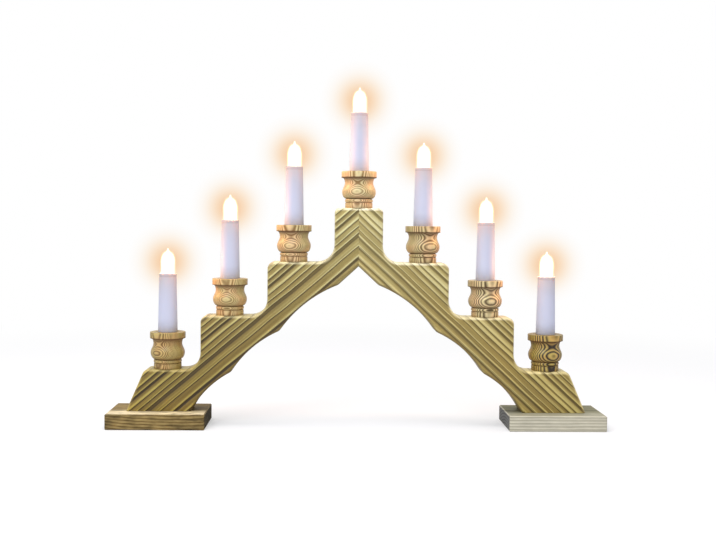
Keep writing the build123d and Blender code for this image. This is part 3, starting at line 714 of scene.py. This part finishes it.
def brushed_pine(name, side):
    finish, tree, shader = new_finish(name, Roughness=0.5, Coat_Weight=0.12, Coat_Roughness=0.3)
    point = here(tree)
    _, y, z = split(point)
    along, across = grain_place(point, side)
    share, lot = share_and_lot(ridge_count(along, across, side), SEEDS[side])
    hollow, brushed = hollow_of(share), stored(tree, "brushed")
    height = at_least((z - TINT_LOW_PLACE) / (TINT_HIGH_PLACE - TINT_LOW_PLACE), 0.0)
    height = calc("POWER", height, TINT_POWER)
    planed = ramp(share, (0.0, PLANED_LINE), (0.22, PLANED), (0.8, PLANED), (1.0, PLANED_LINE))
    reach = smooth(hollow * VALLEY_REACH + brushed, STAIN_FROM, STAIN_TO)
    colour = blend(reach, planed, stain_and_painted_light(share, height, point, side))
    rounding = smooth(brushed, 0.0, ROUNDED_FROM)
    up = put(tree, "ShaderNodeMix", {0: rounding, 2: facing(tree)[2], 3: stored(tree, "up")})
    # A pale mark that is partly wear, heavier on the crests and the rounded edge, and partly a
    # painted highlight on every place that looks up.
    highlight = hollow * (WORN_HIGHLIGHT_VALLEY - WORN_HIGHLIGHT_CREST) + WORN_HIGHLIGHT_CREST
    highlight = highlight * (rounding * (1 - WORN_HIGHLIGHT_WALL) + WORN_HIGHLIGHT_WALL) * smooth(up, UP_FROM, UP_TO)
    colour = blend(highlight, colour, WORN_HIGHLIGHT)
    # Painted shade on faces that look down.
    colour = blend(smooth(up * -1.0, DOWN_FROM, DOWN_TO) * DOWN_SHADE_SHARE, colour, UNDERSIDE_SHADE)
    fibres = fibre_noise(along, across, y)
    tone = wood_level(fibres, lot, BRUSHED_LEVEL)
    tone = tone + streak_noise(along, across, SEEDS[side]) * STREAK_TONE
    tone = tone + noise(point, GRIT_SCALE, 2.0, 0.6) * GRIT_TONE
    colour = tinted(tinted(colour, grey(tone)), blend(height, LOW_TINT[side], HIGH_TINT[side]))
    wire(shader, Base_Color=colour, Normal=bump(fibres, *BRUSHED_BUMP))
    return finish


# %% Brushing both halves
for name, side in (("left", -1), ("right", 1)):
    finish = brushed_pine(f"brushed_pine_{name}", side)
    half = run_tree(
        halves[name], relief_tree(side), depth=RELIEF_DEPTH, streaks=STREAK_DEPTH, material=finish,
    )
    half.data.shade_smooth()
    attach(half, "arch")
    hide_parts(f"arch_half_{name}")
    print(half.name, "is brushed")

# %% [markdown]
# Cups and sleeves are turned shapes: one outline, spun about an upright axis. Blender has a Screw
# modifier for that, but a lathe in Geometry Nodes can do more. It takes the outline as a short mesh
# of points, lays a grid round it, and keeps for the finish where on the lathe each point was and how
# dark a groove or hollow makes it, which on the cups is painted shade with some stain. It also keeps
# four numbers of each piece: how far its wood is turned, its tone, the width of its growth rings and
# how dark their lines are. One tree serves all fourteen.


# %% A lathe as a node tree
KEPT = ("Turn", "Tone", "Ring", "Marks")
SHARP_ON_LATHE = math.radians(50)


def sampled(outline, value, row, kind="FLOAT"):
    """What the outline holds at one of its points."""
    inputs = {"Geometry": outline, "Value": value, "Index": row}
    return put(outline.tree, "GeometryNodeSampleIndex", inputs, data_type=kind)


def lathe_tree():
    inputs = {"Segments": "Int", "Place": "Vector", "Material": "Material"}
    tree, given = new_tree("lathe", inputs | dict.fromkeys(KEPT, "Float"))
    outline, segments = given["Geometry"], given["Segments"]
    size = put(tree, "GeometryNodeAttributeDomainSize", {0: outline}, "Point Count")
    sheet = {"Vertices X": segments + 1.0, "Vertices Y": size}
    sheet = put(tree, "GeometryNodeMeshGrid", sheet, "Mesh")
    index = put(tree, "GeometryNodeInputIndex")
    column = calc("FLOOR", (index + 0.5) / size)
    row = index - column * size
    angle = column / segments * math.tau
    point = sampled(outline, put(tree, "GeometryNodeInputPosition"), row, "FLOAT_VECTOR")
    radius, _, height = split(point)
    spun = join(radius * calc("COSINE", angle), radius * calc("SINE", angle), height)
    mesh = store(sheet, "groove", sampled(outline, named(tree, "groove"), row))
    for label in KEPT:
        mesh = store(mesh, label.lower(), given[label])
    mesh = store(mesh, "on_lathe", spun, "FLOAT_VECTOR")
    there = put(tree, "ShaderNodeVectorMath", {0: spun, 1: given["Place"]})
    mesh = put(tree, "GeometryNodeSetPosition", {"Geometry": mesh, "Position": there})
    mesh = put(tree, "GeometryNodeMergeByDistance", {"Geometry": mesh, "Distance": WELD})
    finish_tree(mesh, given["Material"])
    return tree


def outline_object(name, points):
    """A chain of points (radius, height, groove) in millimetres, as an object for the lathe."""
    mesh = bmesh.new()
    groove = mesh.verts.layers.float.new("groove")
    chain = []
    for radius, height, depth in points:
        chain.append(mesh.verts.new((radius * MM, 0, height * MM)))
        chain[-1][groove] = depth
    for first, second in zip(chain, chain[1:]):
        mesh.edges.new((first, second))
    return as_object(name, mesh)


def outward(piece):
    """Turns all faces outwards and shades smooth between them, up to an angle."""
    mesh = bmesh.new()
    mesh.from_mesh(piece.data)
    bmesh.ops.recalc_face_normals(mesh, faces=mesh.faces[:])
    mesh.to_mesh(piece.data)
    mesh.free()
    piece.data.shade_smooth()
    piece.data.set_sharp_from_angle(angle=SHARP_ON_LATHE)


def arc(centre, radii, start, end, steps, groove=0.0, last_groove=None):
    """Points on part of an ellipse, from one angle to another, in degrees."""
    (x, z), (wide, high) = centre, radii
    change = 0 if last_groove is None else last_groove - groove
    points = []
    for i in range(steps + 1):
        a = math.radians(start + (end - start) * i / steps)
        points.append((x + wide * math.cos(a), z + high * math.sin(a), groove + change * i / steps))
    return points


lathe = lathe_tree()
print("lathe with", len(lathe.nodes), "nodes")

# %% [markdown]
# Each cup was turned from a peg of pine with the grain upright. From the base up it has a straight
# foot, a bead between two fine grooves, a round belly, a waist and a straight rim. The grooves, the
# cove under the rim and the lower belly are darkened, partly by stain that gathered there and partly
# as painted shade, so those points of the outline are marked.

# %% The outline of a cup, in millimetres
CUP_BASE, CUP_BASE_TOP = 13.7, 5.4
CUP_NECK = 12.9
BEAD, BEAD_LOW, BEAD_HIGH = 14.0, 5.8, 9.1
BELLY, BELLY_LOW, BELLY_MIDDLE = 16.9, 9.5, 16.2
WAIST, WAIST_MIDDLE = 14.2, 25.2
RIM, RIM_LOW, RIM_HIGH = 17.6, 30.2, 36.6
SOCKET, SOCKET_FLOOR = 8.6, 18.7
WIRE_HOLE = 4.0
TENON, TENON_LOW = 7.0, -10.0
SOFT_EDGE = 0.5
COVE = 2.4
NEARLY_FLAT = 84
BELLY_STEPS = 12


def low_corner(radius, height, *groove):
    """The soft lower edge of a straight part."""
    centre = (radius - SOFT_EDGE, height + SOFT_EDGE)
    return arc(centre, (SOFT_EDGE, SOFT_EDGE), -90, 0, 3, *groove)


def high_corner(radius, height, *groove):
    """The soft upper edge of a straight part."""
    centre = (radius - SOFT_EDGE, height - SOFT_EDGE)
    return arc(centre, (SOFT_EDGE, SOFT_EDGE), 0, 90, 3, *groove)


def cup_outline():
    points = [(TENON, TENON_LOW, 0), (TENON, 0, 0), (CUP_BASE - SOFT_EDGE, 0, 1)]
    points += low_corner(CUP_BASE, 0, 0.3) + [(CUP_BASE, 3.0, 0)]
    points += high_corner(CUP_BASE, CUP_BASE_TOP, 0.2)
    points += [(CUP_NECK, CUP_BASE_TOP, 1), (CUP_NECK, BEAD_LOW, 1)]
    middle = (BEAD_LOW + BEAD_HIGH) / 2
    half_bead = (BEAD - CUP_NECK, BEAD_HIGH - middle)
    points += arc((CUP_NECK, middle), half_bead, -NEARLY_FLAT, NEARLY_FLAT, 8)
    points += [(CUP_NECK, BEAD_HIGH, 1), (CUP_NECK, BELLY_LOW, 1)]
    low_half = (BELLY - CUP_NECK, BELLY_MIDDLE - BELLY_LOW)
    # The lower belly is darkened towards the bottom as painted shade.
    points += arc((CUP_NECK, BELLY_MIDDLE), low_half, -NEARLY_FLAT, -36, 6, 0.8, 0.0)
    points += arc((CUP_NECK, BELLY_MIDDLE), low_half, -30, 0, 4)
    for step in range(1, BELLY_STEPS + 1):
        share = step / BELLY_STEPS
        radius = WAIST + (BELLY - WAIST) * (1 + math.cos(math.pi * share)) / 2
        points.append((radius, BELLY_MIDDLE + (WAIST_MIDDLE - BELLY_MIDDLE) * share, 0))
    # The cove and the lower edge of the rim are darkened, partly stain and partly painted shade.
    points += arc((WAIST + COVE, WAIST_MIDDLE), (COVE, RIM_LOW - WAIST_MIDDLE), 170, 90, 7, 0.05, 1.0)
    points += low_corner(RIM, RIM_LOW, 1.0, 0.8)
    points += [(RIM, RIM_LOW + 1.2, 0), (RIM, (RIM_LOW + RIM_HIGH) / 2, 0)]
    points += high_corner(RIM, RIM_HIGH)
    points += [(SOCKET + SOFT_EDGE, RIM_HIGH, 0.2), (SOCKET, RIM_HIGH - SOFT_EDGE, 1)]
    points += [(SOCKET, SOCKET_FLOOR, 1), (WIRE_HOLE, SOCKET_FLOOR, 1), (WIRE_HOLE, TENON_LOW, 1)]
    return points + points[:1]


# %% [markdown]
# The finish of a cup comes from the tree it was cut from. Growth rings are rough cylinders round the
# pith of the tree, and the peg was sawn well off the pith. So a ring is a distance from an axis a few
# centimetres behind the cup. Where the belly bulges away from that axis, the rings close into the
# oval eyes that the photograph shows, and on the straight rim they stand as upright lines.

# %% Turned pine
PITH_OFFSET = -27 * MM
PITH_LEAN = (0.04, 0.06, 0)
RING_SWAY = 2.6 * MM
RING_SWAY_SCALE = 45.0
SLOW_ALONG = (1, 1, 0.45)
GROOVE_SHADE_SHARE = 0.9
TURNED_ROUGH, GROOVE_ROUGH = 0.46, 0.4
CUP_PALE = paint(246, 228, 186)
CUP_LINE = paint(162, 130, 82)
CUP_DARK_LINE = paint(40, 28, 4)
CUP_GROOVE_SHADE = paint(74, 36, 8)
AGED_TINT = (0.88, 0.74, 0.26, 1)
FRESH_TONE, AGE_PER_TONE = 1.0, 3.0
RED_PATCH, GREEN_PATCH = (1.08, 0.93, 0.88, 1), (0.94, 0.96, 0.86, 1)
PATCH_SCALE, PATCH_FROM, PATCH_TO = 75.0, 0.35, 0.65
LINE_WAVE, LINE_LOT, LINE_BASE = -0.5, 0.4, 0.3
CUP_LEVEL = (0.4, 0.16, 0.74)


def growth_rings(vector, width, sway, sway_scale, detail):
    """Counts rings out from the Z axis of the given space."""
    x, y, _ = split(vector)
    bend = noise(stretched(vector, SLOW_ALONG), sway_scale, detail) - 0.5
    return (bend * sway + length(join(x, y))) / width


def turned_pine():
    finish, tree, shader = new_finish("turned_pine", Coat_Weight=0.1, Coat_Roughness=0.25)
    turn, tone, ring, marks = (stored(tree, label.lower()) for label in KEPT)
    groove = stored(tree, "groove")
    inputs = {"Vector": stored(tree, "on_lathe", "Vector"), "Angle": turn}
    spun = put(tree, "ShaderNodeVectorRotate", inputs, rotation_type="Z_AXIS")
    inputs = {"Vector": spun, "Location": (0, PITH_OFFSET, 0), "Rotation": PITH_LEAN}
    from_pith = put(tree, "ShaderNodeMapping", inputs)
    from_pith = put(tree, "ShaderNodeVectorMath", {0: from_pith, 1: join(0, 0, turn)})
    share, lot = share_and_lot(growth_rings(from_pith, ring, RING_SWAY, RING_SWAY_SCALE, 2.5), 2.0)
    depth = calc("COSINE", share * math.tau) * LINE_WAVE + (lot * LINE_LOT + LINE_BASE)
    wood = blend(depth, CUP_PALE, blend(marks, CUP_LINE, CUP_DARK_LINE))
    patches = smooth(noise(from_pith, PATCH_SCALE, 1.0), PATCH_FROM, PATCH_TO)
    wood = tinted(wood, blend(patches, RED_PATCH, GREEN_PATCH))
    x, y, z = split(spun)
    fibres = fibre_noise(z, x, y)
    wood = tinted(wood, grey(wood_level(fibres, lot, CUP_LEVEL) * tone))
    age = (FRESH_TONE - tone) * AGE_PER_TONE
    wood = blend(age, wood, tinted(wood, AGED_TINT))
    # Painted shade, with some stain, in the grooves, the cove under the rim and the lower belly.
    wood = blend(groove * GROOVE_SHADE_SHARE, wood, CUP_GROOVE_SHADE)
    rough = groove * GROOVE_ROUGH + TURNED_ROUGH
    wire(shader, Base_Color=wood, Roughness=rough, Normal=bump(fibres, *TURNED_BUMP))
    return finish


# %% Seven cups
CUP_TURNS = (34, 10, 14, 8, -20, -12, -16)
CUP_TONES = (0.78, 0.87, 0.91, 0.96, 0.91, 0.94, 0.7)
CUP_RINGS = (0.744, 0.714, 0.807, 0.807, 1.2, 1.35, 1.425)
CUP_MARKS = (0.4, 0.1, 0.2, 0.1, 0.5, 0.75, 1.0)
CUP_SEGMENTS = 112
pine = turned_pine()


def top_of(node):
    """The middle of the top of a round node."""
    low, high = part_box(node)
    return Vector(((low.x + high.x) / 2, (low.y + high.y) / 2, high.z))


def turned_piece(name, points, node, slot, top, **values):
    """Turns an outline to stand for one CAD node; top is the height of the outline's own top."""
    place = top_of(node) - Vector((0, 0, top * MM))
    piece = run_tree(outline_object(name, points), lathe, place=place, **values)
    outward(piece)
    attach(piece, "arch")
    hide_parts(node)
    return piece


numbers = zip(CUP_TURNS, CUP_TONES, CUP_RINGS, CUP_MARKS)
for number, (turn, tone, ring, marks) in enumerate(numbers, 1):
    cup = turned_piece(
        f"turned_cup_{number}", cup_outline(), f"candle_cup_{number}", "cup_pine", RIM_HIGH,
        segments=CUP_SEGMENTS, turn=math.radians(turn), tone=tone, ring=ring * MM, marks=marks,
        material=pine,
    )
tell(cup)

# %% [markdown]
# The sleeves are moulded in white plastic that looks faintly lavender, and they let a little light
# through. Each tapers towards the top, and a fine line runs round it three millimetres below the lip.

# %% Seven sleeves
SLEEVE_TOP, SLEEVE_LOW, SLEEVE_WALL = 8.5, 9.7, 0.9
SLEEVE_LENGTH, SPIGOT_LENGTH, SPIGOT = 58.5, 17.6, 8.5
SLEEVE_SEGMENTS = 96
LIP = 0.45
SOFT_FOOT = 0.2
LINE_DEPTH, LINE_HALF, LINE_DROP = 0.14, 0.3, 3.1
SLEEVE_WHITE = paint(208, 215, 241)
SLEEVE_DEEP = paint(226, 214, 228)
SLEEVE_LINE = paint(150, 142, 158)
CLOUD_SCALE, CLOUD_SHARE, LINE_SHARE = 60.0, 0.25, 0.35
SLEEVE_ROUGH, CLOUD_ROUGH = 0.46, 0.12
SLEEVE_TEXTURE, SLEEVE_BUMP = (900.0, 2.0), (0.08, 0.1 * MM)


def sleeve_outline():
    def side(drop, groove=0, inset=0):
        """A point on the tapered side."""
        wide = SLEEVE_TOP + (SLEEVE_LOW - SLEEVE_TOP) * drop / SLEEVE_LENGTH
        return (wide - inset, -drop, groove)

    end = -SLEEVE_LENGTH - SPIGOT_LENGTH
    points = [(SPIGOT - SLEEVE_WALL, end, 0), (SPIGOT, end, 0), (SPIGOT, -SLEEVE_LENGTH, 0)]
    points += [(SLEEVE_LOW - SOFT_FOOT, -SLEEVE_LENGTH, 0)]
    points += [(SLEEVE_LOW, -SLEEVE_LENGTH + SOFT_FOOT, 0)]
    points += [side(drop) for drop in (45, 30, 15, LINE_DROP + 2 * LINE_HALF)]
    points += [side(LINE_DROP + LINE_HALF, 0.3), side(LINE_DROP, 1, LINE_DEPTH)]
    points += [side(LINE_DROP - LINE_HALF, 0.3), side(LIP * 2)]
    points += arc((SLEEVE_TOP - LIP, -LIP), (LIP, LIP), 0, 180, 8)
    points += [(SLEEVE_TOP - SLEEVE_WALL, -LIP * 2, 0)]
    points += [(SLEEVE_LOW - SLEEVE_WALL, -SLEEVE_LENGTH + SLEEVE_WALL, 0)]
    points += [(SPIGOT - SLEEVE_WALL, -SLEEVE_LENGTH, 0)]
    return points + points[:1]


def moulded_sleeve():
    finish, tree, shader = new_finish(
        "moulded_sleeve", Specular_IOR_Level=0.35, Subsurface_Weight=0.08,
        Subsurface_Scale=2 * MM, Subsurface_Radius=(1.0, 0.75, 0.6),
    )
    local = stored(tree, "on_lathe", "Vector")
    cloud = noise(local, CLOUD_SCALE, rough=0.6)
    colour = blend(cloud * CLOUD_SHARE, SLEEVE_WHITE, SLEEVE_DEEP)
    colour = blend(stored(tree, "groove") * LINE_SHARE, colour, SLEEVE_LINE)
    texture = bump(noise(local, *SLEEVE_TEXTURE), *SLEEVE_BUMP)
    wire(shader, Base_Color=colour, Roughness=cloud * CLOUD_ROUGH + SLEEVE_ROUGH, Normal=texture)
    return finish


plastic = moulded_sleeve()
for number in LIGHTS:
    sleeve = turned_piece(
        f"moulded_sleeve_{number}", sleeve_outline(), f"candle_sleeve_{number}", "sleeve_plastic", 0,
        segments=SLEEVE_SEGMENTS, material=plastic,
    )
tell(sleeve)

# %% [markdown]
# The bulbs are lit. Clear glass round a glowing wire looks white hot from a step away, with a cream
# edge where the glass turns away from the eye. So the glass mixes a glow with a clear, glossy coat.
# The measured glass keeps its own shape and only gets the finish.

# %% Lit glass and the metal of the bulbs
GLOW_CORE = (2.3, 2.3, 2.3, 1)
GLOW_EDGE = (0.96, 0.84, 0.66, 1)
EDGE_FROM, EDGE_TO = 0.15, 0.8
GLASS_BODY = 0.5
FINE_DEPTH = 0.05 * MM
DRAWN_MARKS, METAL_CLOUD, METAL_DRIFT, METAL_DULL = (1200.0, 2.0, 0.6), 90.0, 0.2, 0.72
MOULD_TEXTURE, MOULD_BUMP, MOULD_CLOUD, MOULD_DRIFT = (1500.0, 3.0, 0.5), 0.12, 120.0, 0.15


def dress(node, finish):
    """Puts a finish into every material slot of a CAD node."""
    data = NODES[node].data
    if not data.materials:
        data.materials.append(finish)
    for index in range(len(data.materials)):
        data.materials[index] = finish


def lit_glass():
    finish, tree, shader = new_finish(
        "lit_glass", Base_Color=(0.03, 0.03, 0.03, 1), Roughness=0.05, IOR=1.5,
        Alpha=GLASS_BODY, Emission_Strength=1.0,
    )
    edge = put(tree, "ShaderNodeLayerWeight", {"Blend": 0.5}, "Facing")
    wire(shader, Emission_Color=blend(smooth(edge, EDGE_FROM, EDGE_TO), GLOW_CORE, GLOW_EDGE))
    return finish


def cloudy(name, colour, second, cloud_scale, rough, drift, fine=None, strength=0.0, **sockets):
    """A finish whose tone and roughness drift, with an optional fine texture."""
    finish, tree, shader = new_finish(name, **sockets)
    cloud = noise(here(tree), cloud_scale, rough=0.6)
    wire(shader, Base_Color=blend(cloud, colour, second), Roughness=cloud * drift + rough)
    if fine:
        wire(shader, Normal=bump(noise(here(tree), *fine), strength, FINE_DEPTH))
    return finish


def metal(name, colour, rough, brushing):
    """Metal with fine drawn marks and slightly uneven tone."""
    look = (darker(colour, METAL_DULL), METAL_CLOUD, rough, METAL_DRIFT, DRAWN_MARKS, brushing)
    return cloudy(name, colour, *look, Metallic=1.0)


def moulded(name, colour, rough, speckle):
    """Plain moulded plastic with a slightly cloudy tone and a fine texture."""
    look = (darker(colour, speckle), MOULD_CLOUD, rough, MOULD_DRIFT, MOULD_TEXTURE, MOULD_BUMP)
    return cloudy(name, colour, *look)


def glowing_wire():
    finish, tree, shader = new_finish(
        "glowing_wire", Metallic=1.0, Roughness=0.4, Emission_Strength=3.0,
    )
    heat = noise(here(tree), 500.0, 2.0)
    colour = blend(heat, paint(255, 170, 60), paint(255, 225, 150))
    wire(shader, Base_Color=colour, Emission_Color=colour)
    return finish


bulb_finishes = {
    "bulb_glass": lit_glass(),
    "bulb_cap": metal("cap_brass", paint(214, 190, 120), 0.22, 0.2),
    "bulb_filament": glowing_wire(),
    "bulb_contact": cloudy(
        "black_glass", paint(16, 16, 20), paint(40, 38, 44), 300.0, 0.12, 0.2, Coat_Weight=0.4,
    ),
}
for number in LIGHTS:
    for node, finish in bulb_finishes.items():
        dress(f"{node}_{number}", finish)
print(len(LIGHTS), "bulbs are lit")

# %% [markdown]
# The feet are planed blocks with the grain along their length. Their rings are cylinders too, round
# an axis that runs along the block, below its sole. So the front and the top show long lines, and the
# ends show arcs. End grain drinks more stain than the sides, and the ends are painted darker still as
# shade, so faces that look along the grain are dark. The top is tinted darker as painted shade, and a
# strip along its front is painted paler as light.

# %% Planed feet
# Where the strip along the front of the top is painted paler as light.
LIT_STRIP_FROM, LIT_STRIP_TO = -29 * MM, -4 * MM
LIT_STRIP_CLOUD, LIT_STRIP_SHARE = 6 * MM, 0.8
FACE_POWER = 8.0
END_LINE = 0.45
FLECK_STRETCH, FLECK_SCALE = (0.22, 1, 1), 320.0
FLECK_CLOUD, FLECK_MIDDLE = 0.7, 0.85
FOOT_SWAY_SCALE, FOOT_SLOW, FOOT_CLOUD_SCALE = 30.0, 0.8, 45.0
FOOT_ROUGH, END_ROUGHER = 0.6, 0.35
FOOT_LEVEL = (0.42, 0.12, 0.76)


def planed_pine(name, pale, line, end, top, highlight, pith, ring, sway, fleck):
    """Planed wood with its grain along X; pith is where its growth axis passes in Y and Z."""
    finish, tree, shader = new_finish(name, Specular_IOR_Level=0.16)
    point = here(tree)
    x, y, z = split(point)
    from_pith = join(y - pith[0], z - pith[1], x * FOOT_SLOW)
    share, lot = share_and_lot(growth_rings(from_pith, ring, sway, FOOT_SWAY_SCALE, 1.5), 5.0)
    wood = ramp(share, (0.0, pale), (0.5, pale), (0.86, line), (0.94, line), (1.0, pale))
    cloud = noise(point, FOOT_CLOUD_SCALE, rough=0.6)
    # The top is tinted darker as painted shade, and a strip along its front is painted paler as
    # light.
    lit_strip = smooth(cloud * LIT_STRIP_CLOUD - y, -LIT_STRIP_TO, -LIT_STRIP_FROM)
    lit_and_shaded_top = blend(lit_strip, tinted(wood, top), blend(LIT_STRIP_SHARE, wood, highlight))
    # End grain is darker for the stain it drinks, and painted darker still as shade.
    shaded_end_grain = ramp(share, (0.0, end), (0.6, end), (0.9, darker(end, END_LINE)), (1.0, end))
    lengthways, _, up = facing(tree)
    on_top = calc("POWER", at_least(up, 0.0), FACE_POWER)
    at_end = calc("POWER", calc("ABSOLUTE", lengthways), FACE_POWER)
    wood = blend(at_end, blend(on_top, wood, lit_and_shaded_top), shaded_end_grain)
    fibres = fibre_noise(x, y, z)
    flecks = noise(stretched(point, FLECK_STRETCH), FLECK_SCALE, 2.0, 0.6) + cloud * FLECK_CLOUD
    level = (flecks - FLECK_MIDDLE) * fleck + wood_level(fibres, lot, FOOT_LEVEL)
    wood, rough = tinted(wood, grey(level)), at_end * END_ROUGHER + FOOT_ROUGH
    wire(shader, Base_Color=wood, Roughness=rough, Normal=bump(fibres, *PLANED_BUMP))
    return finish


# On each foot the top tint is painted shade, the strip colour is painted light along the front of the
# top, and the end colour is end grain painted darker still as shade.
dress("foot_left", planed_pine(
    "brown_foot", pale=paint(140, 120, 76), line=paint(88, 68, 36), end=paint(68, 60, 44),
    top=(0.95, 0.92, 0.82, 1), highlight=paint(244, 226, 188), pith=(-17 * MM, -9 * MM),
    ring=2.2 * MM, sway=9 * MM, fleck=2.5,
))
dress("foot_right", planed_pine(
    "grey_foot", pale=paint(208, 204, 186), line=paint(164, 158, 138), end=paint(118, 118, 116),
    top=(0.36, 0.36, 0.27, 1), highlight=paint(164, 160, 140), pith=(-12 * MM, -70 * MM),
    ring=3 * MM, sway=3 * MM, fleck=0.4,
))
print("both feet are planed")

# %% [markdown]
# What is left are the works: lamp holders, brass shells, springy contacts, wires, staples, dowels,
# screws and the cord gland. Most of them hide inside, but each has its own finish all the same.


# %% Plastics, brass, steel and beech for the works
def beech():
    finish, tree, shader = new_finish("beech", Roughness=0.55)
    fibres = fibre_noise(*split(here(tree)))
    wood = blend(fibres, paint(196, 160, 112), paint(224, 196, 150))
    wire(shader, Base_Color=wood, Normal=bump(fibres, 0.3, 0.2 * MM))
    return finish


thermoset = moulded("thermoset", paint(214, 208, 190), 0.5, 0.85)
works = {
    "screw_shells": metal("shell_brass", paint(224, 186, 100), 0.24, 0.15),
    "centre_contacts": metal("contact_bronze", paint(206, 150, 92), 0.28, 0.15),
    "series_wires": moulded("wire_sheath", paint(232, 232, 228), 0.42, 0.9),
    "wire_staples": metal("staple_steel", paint(190, 192, 196), 0.3, 0.4),
    "foot_screws": metal("screw_steel", paint(206, 190, 132), 0.32, 0.3),
    "cord_gland": moulded("gland_plastic", paint(226, 224, 216), 0.45, 0.9),
    "apex_dowels": beech(),
}
for node, finish in works.items():
    dress(node, finish)
for number in LIGHTS:
    dress(f"lamp_holder_{number}", thermoset)
print(len(works) + len(LIGHTS), "nodes of the works are dressed")

# %% [markdown]
# The floor is plain and pale and keeps the soft shadow of the feet. To the camera it glows a little,
# and far away, where the lamps don't reach, it turns into the same plain white as the world, so that
# the two meet without a line.

# %% The floor and the world
FLOOR_HALF = 6.0
FLOOR_TONE = paint(205, 205, 208)
LIFT = 0.33
WHITE_FROM, WHITE_TO = 0.35, 1.1
WORLD_LEVEL = 0.62


def ray(tree, kind):
    """1 for a ray of one kind, and 0 for the others."""
    return put(tree, "ShaderNodeLightPath", gives=f"Is {kind} Ray")


def make_floor():
    finish, tree, shader = new_finish(
        "pale_floor", Roughness=0.9, Base_Color=FLOOR_TONE, Emission_Color=WHITE,
    )
    seen = ray(tree, "Camera")
    wire(shader, Emission_Strength=seen * LIFT)
    far = seen * smooth(length(here(tree)), WHITE_FROM, WHITE_TO)
    white = put(tree, "ShaderNodeEmission", {"Color": WHITE})
    mixed = put(tree, "ShaderNodeMixShader", {0: far, 1: Value(shader.outputs[0]), 2: white})
    feed(tree.nodes["Material Output"].inputs["Surface"], mixed)
    mesh = bmesh.new()
    bmesh.ops.create_grid(mesh, x_segments=1, y_segments=1, size=FLOOR_HALF)
    floor = as_object("floor", mesh)
    floor.data.materials.append(finish)


def make_world():
    world = bpy.data.worlds.new("studio")
    bpy.context.scene.world = world
    world.use_nodes = True
    tree = world.node_tree
    seen = at_least(at_least(ray(tree, "Camera"), ray(tree, "Glossy")), ray(tree, "Transmission"))
    sky = tree.nodes["Background"]
    feed(sky.inputs["Color"], WHITE)
    feed(sky.inputs["Strength"], seen * (1.0 - WORLD_LEVEL) + WORLD_LEVEL)


make_floor()
make_world()
print("white ground, world at", WORLD_LEVEL)

# %% [markdown]
# Two large soft lamps light the front from above. Each bulb also throws a little warm light on its
# neighbours: a small lamp inside each glass does that, which the camera itself doesn't see.

# %% The lamps
MIDDLE = (0, 0, 0.15)
BULB_MIDDLE = 13 * MM
CANDLE_POWER = 0.5
CANDLE_COLOUR = (1.0, 0.56, 0.30)
CANDLE_SIZE = 4 * MM


def place_lamp(lamp, place, target=None):
    holder = new_object(lamp.name, lamp)
    holder.location = place
    if target is not None:
        look = Vector(target) - Vector(place)
        holder.rotation_euler = look.to_track_quat("-Z", "Y").to_euler()
    return holder


def area_lamp(name, place, size, power):
    lamp = bpy.data.lights.new(name, "AREA")
    lamp.shape = "RECTANGLE"
    lamp.size, lamp.size_y = size
    lamp.energy = power
    place_lamp(lamp, place, MIDDLE)


def inside_bulb(number):
    """The middle of a bulb's glass."""
    return top_of(f"bulb_glass_{number}") - Vector((0, 0, BULB_MIDDLE))


def candle_lamp(number):
    lamp = bpy.data.lights.new(f"candle_light_{number}", "POINT")
    lamp.energy = CANDLE_POWER
    lamp.color = CANDLE_COLOUR
    lamp.shadow_soft_size = CANDLE_SIZE
    place_lamp(lamp, inside_bulb(number)).visible_camera = False


area_lamp("key", place=(-0.5, -1.1, 1.2), size=(0.9, 0.6), power=9)
area_lamp("top", place=(-0.1, -0.15, 1.4), size=(1.0, 0.6), power=9)
for number in LIGHTS:
    candle_lamp(number)
print("2 soft lamps and", len(LIGHTS), "candle lamps")

# %% [markdown]
# A lit bulb seems to stand in a soft orange glare, and that glare is painted here. On a white ground
# it can't be brighter than what is behind it, so it is made of air that takes out some blue and
# green:
# a ball of absorbing volume round each bulb, thick in the middle and thinning out like a bell curve.
# It belongs to the stage and not to the object.

# %% The haze round each bulb
HAZE_RADIUS = 40 * MM
HAZE_SPREAD = 13.6 * MM
HAZE_DENSITY = 30.0
HAZE_COLOUR = (0.92, 0.5, 0.0, 1)


def haze_finish():
    finish, tree, shader = new_finish("haze")
    tree.nodes.remove(shader)
    steps = calc("POWER", length(here(tree)) / HAZE_SPREAD, 2.0)
    bell = calc("EXPONENT", steps * -0.5)
    inputs = {"Color": HAZE_COLOUR, "Density": bell * HAZE_DENSITY}
    volume = put(tree, "ShaderNodeVolumeAbsorption", inputs)
    feed(tree.nodes["Material Output"].inputs["Volume"], volume)
    return finish


def haze(number, finish):
    mesh = bmesh.new()
    bmesh.ops.create_icosphere(mesh, subdivisions=3, radius=HAZE_RADIUS)
    ball = as_object(f"haze_{number}", mesh)
    ball.data.materials.append(finish)
    ball.location = inside_bulb(number)


painted_glare = haze_finish()
for number in LIGHTS:
    haze(number, painted_glare)
bpy.context.scene.view_settings.view_transform = "Standard"
print(len(LIGHTS), "balls of haze")
